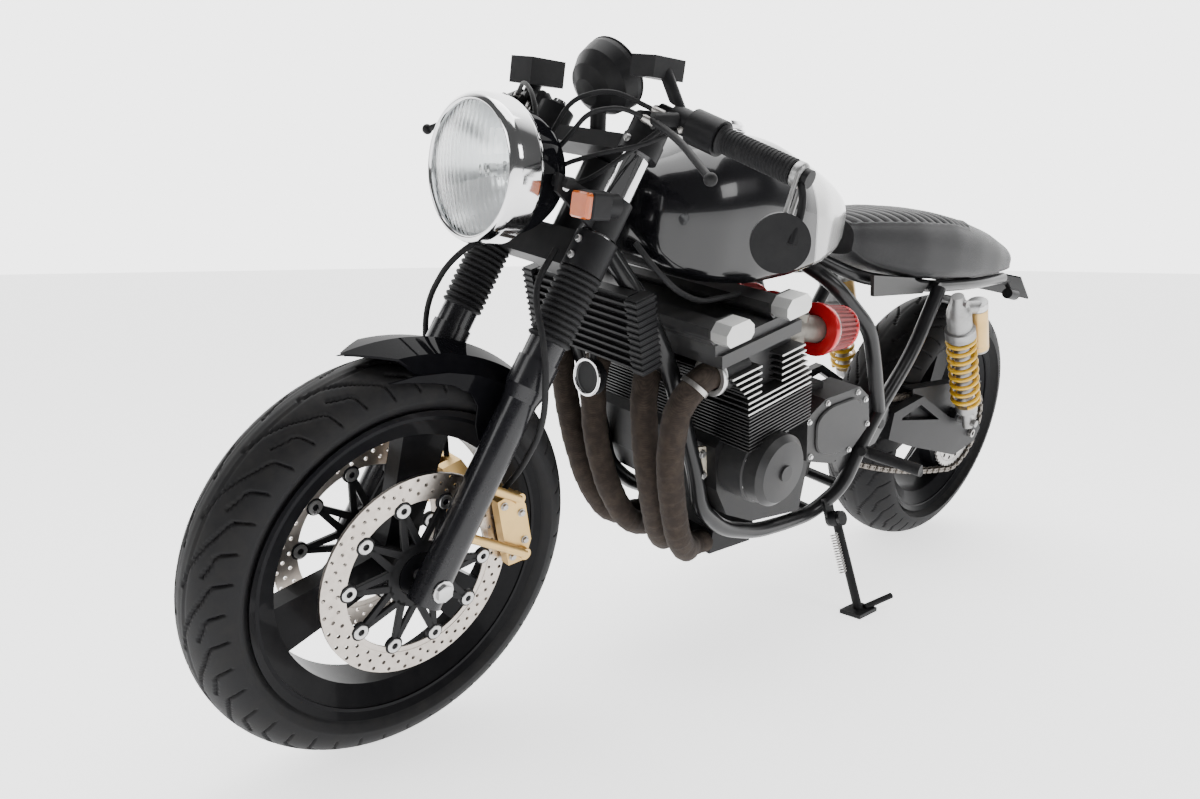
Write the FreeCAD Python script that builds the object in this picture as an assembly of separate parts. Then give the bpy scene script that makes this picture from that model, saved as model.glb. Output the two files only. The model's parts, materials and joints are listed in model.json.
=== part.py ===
"""Cafe racer motorcycle leaning on its side stand.

The bike is drawn upright and unsteered: x forward from the rear axle, y to the rider's left, z up from the ground.
Fork pieces are drawn along the fork. At the end each body is turned to where it rests and the origin is moved
below the middle of the whole machine.
"""
import FreeCAD, Part
import math
import os

# Overall layout, drawn about the datum where the rear axle sits at this wheelbase
WHEELBASE = 1515.0
FRONT_AXLE_X = 1515.0
FRONT_AXLE_Z = 298.0
REAR_AXLE_Z = 311.0
RAKE = 26.0
TRAIL_AXLE_SHIFT = 100.0
LEAN = 10.178
REST_STEER = 1.0
FORK_HALF_SPACING = 103.0
CLEAR = 0.4
CRUMB = 500.0

# Wheels and tyres
RIM_SEAT_RADIUS = 218.0
RIM_LIP_HEIGHT = 15.0
RIM_DEPTH = 28.0
FRONT_WALL = 15.0
FRONT_CROWN = 50.0
FRONT_TYRE_WIDTH = 120.0
REAR_WALL = 12.0
REAR_CROWN = 66.0
REAR_TYRE_WIDTH = 175.0
CROWN_STEPS = 8
BEAD_STEP = 3.0
FRONT_RIM_HALF = 54.0
REAR_RIM_HALF = 73.0
RIM_LIP = 6.0
SPOKES = 3
SPOKE_TURN = 20.0
FRONT_HUB_RADIUS = 32.0
FRONT_HUB_HALF = 60.0
REAR_HUB_RADIUS = 48.0
REAR_HUB_HALF = 66.0
AXLE_RADIUS = 10.0
AXLE_BORE = 6.0
FRONT_AXLE_HALF = 130.0
REAR_AXLE_HALF = 150.0

# Brakes
DISC_RADIUS = 149.0
DISC_INNER = 118.0
DISC_THICKNESS = 5.0
DISC_Y = 69.0
RUN_CLEAR = 5.0
BUTTON_PROUD = 1.4
DISC_BUTTONS = 10
DISC_BUTTON_RADIUS = 8.0
REAR_DISC_RADIUS = 134.0
REAR_DISC_INNER = 100.0
REAR_DISC_Y = -92.0

# Drive
CHAIN_Y = 108.0
CHAIN_PITCH = 15.9
REAR_SPROCKET_TEETH = 42
FRONT_SPROCKET_TEETH = 16
FRONT_SPROCKET_X = 640.0
FRONT_SPROCKET_Z = 400.0
CHAIN_SAG = 22.0
CHAIN_HEIGHT = 15.0
CHAIN_WIDTH = 20.0

# Fork, measured along the leg from the axle
SLIDER_RADIUS = 25.0
COLLAR_RADIUS = 30.0
COLLAR_TOP = 337.0
GAITER_BOTTOM = 366.0
GAITER_TOP = 473.0
GAITER_RADIUS = 32.0
GAITER_RINGS = 12
TUBE_RADIUS = 20.5
LOWER_CLAMP_BOTTOM = 473.0
LOWER_CLAMP_TOP = 525.0
UPPER_CLAMP_BOTTOM = 652.0
UPPER_CLAMP_TOP = 676.0
TUBE_TOP = 712.0
HEAD_TUBE_RADIUS = 28.0
HEAD_LOW = 530.0
HEAD_TOP = 647.0
STEM_RADIUS = 13.0

# Frame
FRAME_TUBE = 15.0
REAR_TUBE = 13.0
SPINE_TUBE = 20.0
CRADLE_HALF = 118.0
PIVOT_X = 440.0
PIVOT_Z = 392.0
REAR_HALF = 138.0
PLATE_INNER = 124.0
PLATE_OUTER = 134.0
INNER_ARM = 98.0

# Engine
BLOCK_HALF = 212.0
LOWER_FINS = 11
LOWER_FIN_PITCH = 6.2
LOWER_FIN = 2.4
FULL_FINS = 3
FULL_FIN_PITCH = 10.0
HEAD_FINS = 5
HEAD_FIN_PITCH = 11.0
FIN_THICKNESS = 3.0
HEAD_LOW_EDGE = 182.0
HEAD_HIGH_EDGE = 204.0
CAM_BASE_TOP = 222.0
FRONT_CAM = 100.5
REAR_CAM = -41.0
PORT_RADIUS = 28.0
CYLINDER_LEAN = 14.0
ALTERNATOR_X = 920.0
ALTERNATOR_Z = 404.0
ALTERNATOR_RADIUS = 64.0
PIPE_RADIUS = 21.5
FILTER_RADIUS = 46.0

CASE_HALF = 150.0
POCKET_X = 712.0
BLOCK_X = 935.0
BLOCK_Z = 440.0

# Bars and controls
BAR_INNER_X = 1217.0
BAR_INNER_Y = 125.0
BAR_INNER_Z = 948.0
BAR_END_X = 1187.0
BAR_END_Y = 345.0
BAR_END_Z = 893.0
GRIP_INNER_Y = 228.0
GRIP_OUTER_Y = 338.0
LEVER_PIVOT = (1258.0, 152.0, 934.0)
LEVER_MIDDLE = (1272.0, 215.0, 915.0)
LEVER_BALL = (1305.0, 303.0, 876.0)
MIRROR = (1219.0, 366.0, 811.0)
MIRROR_RADIUS = 37.0
MIRROR_TURN = 40.0
GAUGE = (1194.0, 0.0, 992.0)
GAUGE_TILT = 32.0
RESERVOIR = (1200.0, 165.0, 985.0)
CLUTCH_TANK = (1218.0, 110.0, 1003.0)
SIGNAL = (1327.0, 140.0, 820.0)

# Front fender, angles from forward about the axle
FENDER_HALF = 68.0
FENDER_FRONT = 73.0
FENDER_REAR = 128.0
FENDER_SWEEP = FENDER_REAR - FENDER_FRONT
FENDER_GAP = 19.0

# Front caliper, about the axle: angle from forward and radial reach
CALIPER_ANGLE = 163.0
CALIPER_LOW = 131.0
CALIPER_HIGH = 178.0

# Shocks: the top eye on the frame, the low eye from the rear axle
SHOCK_TOP = (276.0, 164.0, 652.0)
SHOCK_LOW = (82.0, 164.0, 47.0)
ARM_INNER = 122.0
ARM_OUTER = 142.0

TUNNEL_HALF = 38.0
TUNNEL_TOP = 818.0

# Lamp
LAMP_BOLT_X = 1360.0
LAMP_BOLT_Y = 108.0
LAMP_X = 1425.0
LAMP_Z = 844.0
LAMP_RADIUS = 100.0
LAMP_DEPTH = 125.0

# Joint travel and friction, in degrees and newton metres
STEER_RANGE = (-31.0, 29.0)
STEER_FRICTION = 13.5
STAND_FOLD = 95.0
STAND_FRICTION = 2.0

# Resting place of the whole bike's middle, beside the wheel line
ORIGIN_SIDE = 155.0

# Side stand
STAND_PIVOT = (585.0, 162.0, 216.0)
STAND_EYE_HALF = 9.0
STAND_EAR = 7.0
STAND_FOOT = (577.0, 249.4, 43.2)
STAND_TOE_IN = 0.02
STAND_PIN_RADIUS = 6.0
PIN_GAP = 0.05
STAND_LEG_RADIUS = 9.0

RIM_LIP_RADIUS = RIM_SEAT_RADIUS + RIM_LIP_HEIGHT
RIM_INSIDE_RADIUS = RIM_SEAT_RADIUS - RIM_DEPTH
FRONT_TYRE_RADIUS = RIM_LIP_RADIUS + FRONT_WALL + FRONT_CROWN
REAR_TYRE_RADIUS = RIM_LIP_RADIUS + REAR_WALL + REAR_CROWN
AXIS_FOOT_X = FRONT_AXLE_X + TRAIL_AXLE_SHIFT


def vec(x, y, z):
    return FreeCAD.Vector(x, y, z)


X_AXIS = vec(1, 0, 0)
Y_AXIS = vec(0, 1, 0)
Z_AXIS = vec(0, 0, 1)
FORK_UP = vec(-math.sin(math.radians(RAKE)), 0, math.cos(math.radians(RAKE)))
FRONT_AXLE = vec(FRONT_AXLE_X, 0, FRONT_AXLE_Z)
REAR_AXLE = vec(FRONT_AXLE_X - WHEELBASE, 0, REAR_AXLE_Z)
STEER_FOOT = vec(AXIS_FOOT_X, 0, 0)


def on_leg(side, along, ahead=0.0):
    """Point on a fork leg, a distance along it from the axle and ahead of its centre line."""
    forward = vec(FORK_UP.z, 0, -FORK_UP.x)
    return FRONT_AXLE + FORK_UP * along + forward * ahead + Y_AXIS * (side * FORK_HALF_SPACING)


def on_stem(along):
    """Point on the steering axis level with a distance along the fork."""
    level = (FRONT_AXLE - STEER_FOOT).dot(FORK_UP) + along
    return STEER_FOOT + FORK_UP * level


def box(x0, x1, y0, y1, z0, z1):
    return Part.makeBox(x1 - x0, y1 - y0, z1 - z0, vec(x0, y0, z0))


def rod(start, end, radius):
    direction = end - start
    return Part.makeCylinder(radius, direction.Length, start, direction)


def cone(start, end, radius_start, radius_end):
    direction = end - start
    return Part.makeCone(radius_start, radius_end, direction.Length, start, direction)


def joined(shapes):
    """One solid from shapes that overlap."""
    first = shapes[0]
    return first.fuse(list(shapes[1:])).removeSplitter() if len(shapes) > 1 else first


def mirrored(shape):
    """The same piece on the other side of the bike."""
    return shape.mirror(vec(0, 0, 0), Y_AXIS)


def both_sides(shape):
    return [shape, mirrored(shape)]


def prism(outline, y0, y1):
    """A flat plate whose outline is given in x and z, from y0 to y1."""
    points = [vec(x, y0, z) for x, z in outline]
    face = Part.Face(Part.makePolygon(points + points[:1]))
    return face.extrude(vec(0, y1 - y0, 0))


def turned(profile, origin, direction, sweep=360):
    """A round piece: the outline of radius and station is turned about the direction through the origin."""
    points = [vec(radius, 0, station) for radius, station in profile]
    face = Part.Face(Part.makePolygon(points + points[:1]))
    solid = face.revolve(vec(0, 0, 0), Z_AXIS, sweep)
    solid.Placement = FreeCAD.Placement(origin, FreeCAD.Rotation(Z_AXIS, direction))
    return solid


def tube(points, radius, share=0.45):
    """A bent tube: straight runs joined by arcs whose tangent length is a share of the shorter run."""
    edges = []
    start = points[0]
    for before, corner, after in zip(points, points[1:], points[2:]):
        back = before - corner
        ahead = after - corner
        reach = share * min(back.Length, ahead.Length)
        enter = corner + back * (reach / back.Length)
        leave = corner + ahead * (reach / ahead.Length)
        half = back.getAngle(ahead) / 2
        bisector = (back * (1 / back.Length) + ahead * (1 / ahead.Length)).normalize()
        middle = corner + bisector * (reach / math.cos(half) - reach * math.tan(half))
        edges.append(Part.LineSegment(start, enter).toShape())
        edges.append(Part.Arc(enter, middle, leave).toShape())
        start = leave
    edges.append(Part.LineSegment(start, points[-1]).toShape())
    spine = Part.Wire(edges)
    heading = points[1] - points[0]
    ring = Part.Wire(Part.makeCircle(radius, points[0], heading))
    return spine.makePipeShell([ring], True, False)


def section(x, half, low, high, corner_low, corner_high, shoulder):
    """A rounded body section across the bike: flat below, shoulder above, as one closed wire."""
    top_half = half * shoulder
    points = [
        vec(x, -half + corner_low, low),
        vec(x, half - corner_low, low),
        vec(x, half, low + corner_low),
        vec(x, half, high - corner_high),
        vec(x, top_half, high),
        vec(x, -top_half, high),
        vec(x, -half, high - corner_high),
        vec(x, -half, low + corner_low),
    ]
    turn = math.sqrt(0.5)
    low_mid = corner_low * (1 - turn)
    rise = high - corner_high * (1 - turn) * 0.85
    bulge = half - (half - top_half) * (1 - turn) * 0.85
    edges = [
        Part.LineSegment(points[0], points[1]).toShape(),
        Part.Arc(points[1], vec(x, half - low_mid, low + low_mid), points[2]).toShape(),
        Part.LineSegment(points[2], points[3]).toShape(),
        Part.Arc(points[3], vec(x, bulge, rise), points[4]).toShape(),
        Part.LineSegment(points[4], points[5]).toShape(),
        Part.Arc(points[5], vec(x, -bulge, rise), points[6]).toShape(),
        Part.LineSegment(points[6], points[7]).toShape(),
        Part.Arc(points[7], vec(x, -half + low_mid, low + low_mid), points[0]).toShape(),
    ]
    return Part.Wire(edges)


def loft(sections):
    return Part.makeLoft([section(*row) for row in sections], True, False)


NODES = {}
BODIES = {"chassis": [], "steering": [], "front_wheel": [], "rear_wheel": [], "side_stand": []}


def add(body, name, shapes):
    """Keep a piece under its name, on the body that carries it."""
    NODES[name] = shapes if isinstance(shapes, list) else [shapes]
    BODIES[body].append(name)


def tyre(centre, radius, width, crown, rim_half):
    """A tyre ring: bead seats, bulging side walls and a crown that follows half an ellipse."""
    inner = rim_half - RIM_LIP
    bead = RIM_LIP_RADIUS + BEAD_STEP
    profile = [(RIM_SEAT_RADIUS, inner), (bead, inner)]
    for step in range(CROWN_STEPS + 1):
        angle = math.pi * step / CROWN_STEPS
        profile.append((radius - crown + crown * math.sin(angle), width / 2 * math.cos(angle)))
    profile += [(bead, -inner), (RIM_SEAT_RADIUS, -inner)]
    return turned(profile, centre, Y_AXIS)


def rim(centre, rim_half, hub_radius, hub_half, spoke_half):
    """A cast wheel: channel ring, three tapered spokes and a hub with a through bore."""
    flange = rim_half - RIM_LIP
    drop = rim_half - 26
    profile = [
        (RIM_LIP_RADIUS, rim_half),
        (RIM_LIP_RADIUS, flange),
        (RIM_SEAT_RADIUS, flange),
        (RIM_SEAT_RADIUS, -flange),
        (RIM_LIP_RADIUS, -flange),
        (RIM_LIP_RADIUS, -rim_half),
        (RIM_INSIDE_RADIUS, -drop),
        (RIM_INSIDE_RADIUS, drop),
    ]
    ring = turned(profile, centre, Y_AXIS)
    hub = rod(centre - Y_AXIS * hub_half, centre + Y_AXIS * hub_half, hub_radius)
    pieces = [ring, hub]
    for count in range(SPOKES):
        outline = [(0, -26), (hub_radius + 20, -26), (RIM_INSIDE_RADIUS + 6, -38),
                   (RIM_INSIDE_RADIUS + 6, 38), (hub_radius + 20, 26), (0, 26)]
        spoke = prism(outline, -spoke_half, spoke_half)
        spoke.rotate(vec(0, 0, 0), Y_AXIS, SPOKE_TURN + count * 360 / SPOKES)
        spoke.translate(centre)
        pieces.append(spoke)
    wheel = joined(pieces)
    return wheel.cut(rod(centre - Y_AXIS * 200, centre + Y_AXIS * 200, AXLE_RADIUS + CLEAR))


def disc(centre, y, hub_radius, radius, inner, buttons):
    """A floating brake disc: ring, star carrier and round buttons that tie the two."""
    half = DISC_THICKNESS / 2
    middle = centre + Y_AXIS * y
    ring = rod(middle - Y_AXIS * half, middle + Y_AXIS * half, radius)
    ring = ring.cut(rod(middle - Y_AXIS * 9, middle + Y_AXIS * 9, inner))
    hub = rod(middle - Y_AXIS * half, middle + Y_AXIS * half, hub_radius + 22)
    pieces = [ring, hub]
    for count in range(buttons):
        angle = 2 * math.pi * count / buttons
        toward = vec(math.cos(angle), 0, math.sin(angle))
        end = middle + toward * (inner + 1)
        arm = prism([(0, -9), (inner - 2, -6), (inner - 2, 6), (0, 9)], -half, half)
        arm.rotate(vec(0, 0, 0), Y_AXIS, -math.degrees(angle))
        arm.translate(middle)
        pieces.append(arm)
        reach = half + BUTTON_PROUD
        pieces.append(rod(end - Y_AXIS * reach, end + Y_AXIS * reach, DISC_BUTTON_RADIUS))
    return joined(pieces).cut(rod(middle - Y_AXIS * 9, middle + Y_AXIS * 9, hub_radius))


def wheels():
    add("front_wheel", "front_tyre", tyre(FRONT_AXLE, FRONT_TYRE_RADIUS, FRONT_TYRE_WIDTH, FRONT_CROWN, FRONT_RIM_HALF))
    add("front_wheel", "front_rim", rim(FRONT_AXLE, FRONT_RIM_HALF, FRONT_HUB_RADIUS, FRONT_HUB_HALF + 12, 16))
    left = disc(FRONT_AXLE, DISC_Y, FRONT_HUB_RADIUS, DISC_RADIUS, DISC_INNER, DISC_BUTTONS)
    right = disc(FRONT_AXLE, -DISC_Y, FRONT_HUB_RADIUS, DISC_RADIUS, DISC_INNER, DISC_BUTTONS)
    add("front_wheel", "front_discs", [left, right])
    add("rear_wheel", "rear_tyre", tyre(REAR_AXLE, REAR_TYRE_RADIUS, REAR_TYRE_WIDTH, REAR_CROWN, REAR_RIM_HALF))
    add("rear_wheel", "rear_rim", rim(REAR_AXLE, REAR_RIM_HALF, REAR_HUB_RADIUS, CHAIN_Y + 4, 20))
    add("rear_wheel", "rear_disc", disc(REAR_AXLE, REAR_DISC_Y, REAR_HUB_RADIUS, REAR_DISC_RADIUS, REAR_DISC_INNER, 8))


def chain_loop(extra):
    """Outline of the chain run, a belt round both sprockets, grown by extra."""
    rear = CHAIN_PITCH * REAR_SPROCKET_TEETH / (2 * math.pi)
    front = CHAIN_PITCH * FRONT_SPROCKET_TEETH / (2 * math.pi)
    start = REAR_AXLE
    end = vec(FRONT_SPROCKET_X, 0, FRONT_SPROCKET_Z)
    span = end - start
    slope = math.atan2(span.z, span.x)
    tilt = math.acos((rear - front) / span.Length)

    def point(centre, radius, angle):
        return centre + vec(math.cos(angle), 0, math.sin(angle)) * (radius + extra)

    high = slope + tilt
    low = slope - tilt
    slack = (point(start, rear, low) + point(end, front, low)) * 0.5 - Z_AXIS * CHAIN_SAG
    edges = [
        Part.Arc(point(start, rear, high), point(start, rear, slope + math.pi), point(start, rear, low)).toShape(),
        Part.Arc(point(start, rear, low), slack, point(end, front, low)).toShape(),
        Part.Arc(point(end, front, low), point(end, front, slope), point(end, front, high)).toShape(),
        Part.LineSegment(point(end, front, high), point(start, rear, high)).toShape(),
    ]
    return Part.Face(Part.Wire(edges))


def drive():
    half = CHAIN_WIDTH / 2
    loop = chain_loop(CHAIN_HEIGHT / 2).cut(chain_loop(-CHAIN_HEIGHT / 2))
    loop.translate(vec(0, CHAIN_Y - half, 0))
    add("chassis", "drive_chain", loop.extrude(Y_AXIS * CHAIN_WIDTH))
    rear = CHAIN_PITCH * REAR_SPROCKET_TEETH / (2 * math.pi)
    middle = REAR_AXLE + Y_AXIS * CHAIN_Y
    plate = rod(middle - Y_AXIS * 3, middle + Y_AXIS * 3, rear - CHAIN_HEIGHT / 2 - RUN_CLEAR)
    plate = plate.cut(rod(middle - Y_AXIS * 9, middle + Y_AXIS * 9, REAR_HUB_RADIUS))
    add("rear_wheel", "rear_sprocket", plate)


def chain_guard():
    """The plate over the chain's upper run, with a skirt down to the left arm, from the rear axle's centre."""
    top = CHAIN_PITCH * REAR_SPROCKET_TEETH / (2 * math.pi) + CHAIN_HEIGHT / 2 + 12
    roof = prism([(-40, top - 8), (-10, top), (300, top + 8), (300, top + 12), (-10, top + 4), (-44, top - 5)],
                 CHAIN_Y - 14, ARM_INNER)
    skirt = prism([(40, 19), (280, 61), (300, top + 9), (0, top + 2)], ARM_INNER - 3, ARM_INNER)
    guard = joined([roof, skirt])
    guard.translate(REAR_AXLE)
    return guard


def fork():
    tubes = []
    sliders = []
    gaiters = []
    for side in (1, -1):
        bottom = on_leg(side, -28)
        slider = joined([
            rod(bottom, on_leg(side, COLLAR_TOP - 40), SLIDER_RADIUS),
            cone(on_leg(side, COLLAR_TOP - 60), on_leg(side, COLLAR_TOP - 40), SLIDER_RADIUS, COLLAR_RADIUS),
            rod(on_leg(side, COLLAR_TOP - 40), on_leg(side, COLLAR_TOP), COLLAR_RADIUS),
            rod(on_leg(side, COLLAR_TOP), on_leg(side, GAITER_BOTTOM), SLIDER_RADIUS + 2),
        ])
        slider = slider.cut(rod(FRONT_AXLE - Y_AXIS * 200, FRONT_AXLE + Y_AXIS * 200, AXLE_RADIUS))
        sliders.append(slider)
        tubes.append(rod(on_leg(side, GAITER_BOTTOM), on_leg(side, TUBE_TOP), TUBE_RADIUS))
        pitch = (GAITER_TOP - GAITER_BOTTOM) / GAITER_RINGS
        profile = [(TUBE_RADIUS, 0.0), (GAITER_RADIUS - 4, 0.0)]
        for ring in range(GAITER_RINGS):
            base = ring * pitch
            profile.append((GAITER_RADIUS, base + pitch * 0.5))
            profile.append((GAITER_RADIUS - 5, base + pitch))
        profile.append((TUBE_RADIUS, GAITER_TOP - GAITER_BOTTOM))
        gaiters.append(turned(profile, on_leg(side, GAITER_BOTTOM), FORK_UP))
    add("steering", "fork_sliders", sliders)
    add("steering", "fork_tubes", tubes)
    add("steering", "fork_gaiters", gaiters)

    def clamp(low, high, boss, stem_radius):
        middle = (low + high) / 2
        depth = (high - low) / 2
        bridge_low = Part.makeBox(46, 2 * FORK_HALF_SPACING, high - low)
        bridge_low.translate(vec(-30, -FORK_HALF_SPACING, -depth))
        bridge_low.Placement = FreeCAD.Placement(
            (on_leg(1, middle) + on_leg(-1, middle)) * 0.5, FreeCAD.Rotation(Y_AXIS, -RAKE)
        ).multiply(bridge_low.Placement)
        pieces = [bridge_low]
        for side in (1, -1):
            pieces.append(rod(on_leg(side, low), on_leg(side, high), boss))
        pieces.append(rod(on_stem(low), on_stem(high), stem_radius))
        shape = joined(pieces)
        for side in (1, -1):
            shape = shape.cut(rod(on_leg(side, low - 5), on_leg(side, high + 5), TUBE_RADIUS))
        return shape

    lower = clamp(LOWER_CLAMP_BOTTOM, LOWER_CLAMP_TOP, 31.0, 26.0)
    upper = clamp(UPPER_CLAMP_BOTTOM, UPPER_CLAMP_TOP, 30.0, 26.0)
    stem = rod(on_stem(LOWER_CLAMP_TOP - 5), on_stem(UPPER_CLAMP_BOTTOM + 5), STEM_RADIUS)
    add("steering", "fork_clamps", joined([lower, stem, upper]))
    axle = rod(FRONT_AXLE - Y_AXIS * FRONT_AXLE_HALF, FRONT_AXLE + Y_AXIS * FRONT_AXLE_HALF, AXLE_RADIUS)
    axle = axle.cut(rod(FRONT_AXLE - Y_AXIS * 140, FRONT_AXLE + Y_AXIS * 140, AXLE_BORE))
    add("steering", "front_axle", axle)


def front_fender():
    """A short arched guard with a pointed tip in front, and its stays to the sliders."""
    reach = FRONT_TYRE_RADIUS + FENDER_GAP
    half = FENDER_HALF
    profile = [(reach - 30, half), (reach - 6, half * 0.75), (reach + 4, 0), (reach - 6, -half * 0.75),
               (reach - 30, -half), (reach - 31, -half + 3), (reach - 9, -half * 0.75 + 2),
               (reach + 1, 0), (reach - 9, half * 0.75 - 2), (reach - 31, half - 3)]
    guard = turned(profile, vec(0, 0, 0), Y_AXIS, FENDER_SWEEP)
    guard.rotate(vec(0, 0, 0), Y_AXIS, -FENDER_REAR)
    guard.translate(FRONT_AXLE)
    angle = math.radians(FENDER_FRONT)
    outward = vec(math.cos(angle), 0, math.sin(angle))
    along = vec(-math.sin(angle), 0, math.cos(angle))
    tip = FRONT_AXLE + outward * (reach - 60)
    for side in (1, -1):
        corner = [tip - along * 20, tip - along * 20 + Y_AXIS * (side * 90),
                  tip + along * 90 + Y_AXIS * (side * 90), tip + along * 2 + Y_AXIS * (side * 6)]
        wedge = Part.Face(Part.makePolygon(corner + corner[:1])).extrude(outward * 90)
        guard = guard.cut(wedge)
    for side in (1, -1):
        root = on_leg(side, reach - 22) - Y_AXIS * (side * (SLIDER_RADIUS - 3))
        guard = guard.fuse(rod(root, vec(root.x, side * (half - 3), root.z), 7.0))
    return guard.removeSplitter()


def calipers():
    """Two blocks astride the discs behind the legs, each held by two lugs on its slider."""
    pieces = []
    block = prism([(CALIPER_LOW, -58), (CALIPER_HIGH - 12, -58), (CALIPER_HIGH, -30), (CALIPER_HIGH, 34),
                   (CALIPER_HIGH - 16, 62), (CALIPER_LOW, 56)], DISC_Y - 24, DISC_Y + 24)
    gap = DISC_THICKNESS / 2 + RUN_CLEAR
    slot = prism([(0, -90), (DISC_RADIUS + 4, -90), (DISC_RADIUS + 4, 90), (0, 90)], DISC_Y - gap, DISC_Y + gap)
    block = block.cut(slot)
    block.rotate(vec(0, 0, 0), Y_AXIS, -CALIPER_ANGLE)
    block.translate(FRONT_AXLE)
    for along, across in ((-46, 0), (50, 6)):
        angle = math.radians(CALIPER_ANGLE)
        radial = vec(math.cos(angle), 0, math.sin(angle))
        tangent = vec(-math.sin(angle), 0, math.cos(angle))
        eye = FRONT_AXLE + radial * (CALIPER_HIGH - 20 + across) + tangent * along * -1
        reach = (eye - FRONT_AXLE).dot(FORK_UP)
        root = on_leg(1, reach)
        eye = vec(eye.x, DISC_Y + 20, eye.z)
        pieces.append(rod(eye, vec(eye.x, DISC_Y + 34, eye.z), 9.0))
        pieces.append(rod(vec(eye.x, DISC_Y + 30, eye.z), root, 7.0))
    whole = joined([block] + pieces)
    for side in (1,):
        whole = whole.cut(rod(on_leg(side, -20), on_leg(side, 300), SLIDER_RADIUS))
    return both_sides(whole)


def bar_line(side, y):
    """Point on the handlebar's centre line."""
    share = (y - BAR_INNER_Y) / (BAR_END_Y - BAR_INNER_Y)
    return vec(BAR_INNER_X + (BAR_END_X - BAR_INNER_X) * share, side * y,
               BAR_INNER_Z + (BAR_END_Z - BAR_INNER_Z) * share)


def controls():
    bars = []
    grips = []
    switches = []
    levers = []
    for side in (1, -1):
        clip = rod(on_leg(side, UPPER_CLAMP_TOP), on_leg(side, TUBE_TOP - 4), 28.0)
        bar = rod(bar_line(side, BAR_INNER_Y), bar_line(side, BAR_END_Y), 11.0)
        hub = rod(bar_line(side, BAR_INNER_Y) - Y_AXIS * 0, on_leg(side, TUBE_TOP - 20), 12.0)
        bar = joined([clip, bar, hub]).cut(rod(on_leg(side, 600), on_leg(side, TUBE_TOP), TUBE_RADIUS))
        bars.append(bar)
        grip = rod(bar_line(side, GRIP_INNER_Y), bar_line(side, GRIP_OUTER_Y), 16.5)
        grips.append(grip.cut(rod(bar_line(side, BAR_INNER_Y), bar_line(side, BAR_END_Y), 11.0)))
        pod = joined([rod(bar_line(side, GRIP_INNER_Y - 46), bar_line(side, GRIP_INNER_Y - 1), 24.0),
                      rod(bar_line(side, GRIP_INNER_Y - 78), bar_line(side, GRIP_INNER_Y - 50), 18.0)])
        switches.append(pod.cut(rod(bar_line(side, BAR_INNER_Y), bar_line(side, BAR_END_Y), 11.0)))
        pivot = vec(LEVER_PIVOT[0], side * LEVER_PIVOT[1], LEVER_PIVOT[2])
        middle = vec(LEVER_MIDDLE[0], side * LEVER_MIDDLE[1], LEVER_MIDDLE[2])
        ball = vec(LEVER_BALL[0], side * LEVER_BALL[1], LEVER_BALL[2])
        blade = tube([pivot, middle, ball], 5.0)
        perch = rod(bar_line(side, GRIP_INNER_Y - 64) + vec(14, 0, 0), pivot, 11.0)
        perch = perch.cut(rod(bar_line(side, GRIP_INNER_Y - 80), bar_line(side, GRIP_INNER_Y - 48), 18.0))
        levers.append(joined([blade, Part.makeSphere(8.5, ball), perch]))
    add("steering", "handlebars", bars)
    add("steering", "grips", grips)
    add("steering", "switchgear", switches)
    add("steering", "levers", levers)
    stem = tube([bar_line(1, BAR_END_Y) + vec(0, 2, 0), vec(1205, MIRROR[1] + 6, 860), vec(MIRROR[0], MIRROR[1] + 8, MIRROR[2])], 5.0)
    collar = rod(bar_line(1, BAR_END_Y), bar_line(1, BAR_END_Y + 16), 12.0)
    face = Part.makeCylinder(MIRROR_RADIUS, 14, vec(*MIRROR) + vec(5, -7, 0), vec(-1, 0, 0))
    face.rotate(vec(*MIRROR), Z_AXIS, MIRROR_TURN)
    add("steering", "mirror", joined([stem, collar, face]))


def lamp():
    centre = vec(LAMP_X, 0, LAMP_Z)
    inside = LAMP_RADIUS - 8
    bowl = [(0, -LAMP_DEPTH), (30, -LAMP_DEPTH + 2), (62, -LAMP_DEPTH + 16), (84, -LAMP_DEPTH + 46),
            (inside, -40), (inside + 3, -8), (inside - 5, -8), (0, -8)]
    add("steering", "headlamp_bowl", turned(bowl, centre, X_AXIS))
    ring = [(inside - 5, -8), (inside + 3, -8), (inside + 0.1875, -38), (LAMP_RADIUS - 3, -38), (LAMP_RADIUS, -30),
            (LAMP_RADIUS, 0), (LAMP_RADIUS - 3, 10), (inside, 14), (inside - 5, 8)]
    add("steering", "headlamp_rim", turned(ring, centre, X_AXIS))
    glass = [(0, -8), (inside - 5, -8), (inside - 5, 8), (inside - 22, 17), (50, 24), (26, 28), (0, 29)]
    add("steering", "headlamp_lens", turned(glass, centre, X_AXIS))
    brackets = []
    for side in (1, -1):
        clip = rod(on_leg(side, LOWER_CLAMP_TOP + 4), on_leg(side, LOWER_CLAMP_TOP + 60), TUBE_RADIUS + 5)
        clip = clip.cut(rod(on_leg(side, 400), on_leg(side, 700), TUBE_RADIUS))
        end = vec(LAMP_BOLT_X, side * LAMP_BOLT_Y, LAMP_Z)
        root = on_leg(side, LOWER_CLAMP_TOP + 34)
        arm = prism([(root.x + 20, root.z - 26), (end.x + 14, end.z - 12), (end.x + 14, end.z + 12),
                     (root.x + 20, root.z + 26)], 0, 7)
        arm.translate(vec(0, LAMP_BOLT_Y - 5 if side > 0 else -LAMP_BOLT_Y - 2, 0))
        bolt = rod(vec(end.x, side * (LAMP_BOLT_Y + 12), end.z), vec(end.x, side * (inside - 6), end.z), 8.0)
        at = vec(SIGNAL[0], side * SIGNAL[1], SIGNAL[2])
        signal = rod(at + vec(-30, 0, 0), at + vec(26, 0, 0), 17.0)
        stalk = rod(at, vec(at.x - 10, side * (LAMP_BOLT_Y - 2), at.z + 4), 6.0)
        brackets.append(joined([clip, arm, bolt, signal, stalk]))
    add("steering", "lamp_brackets", brackets)


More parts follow.
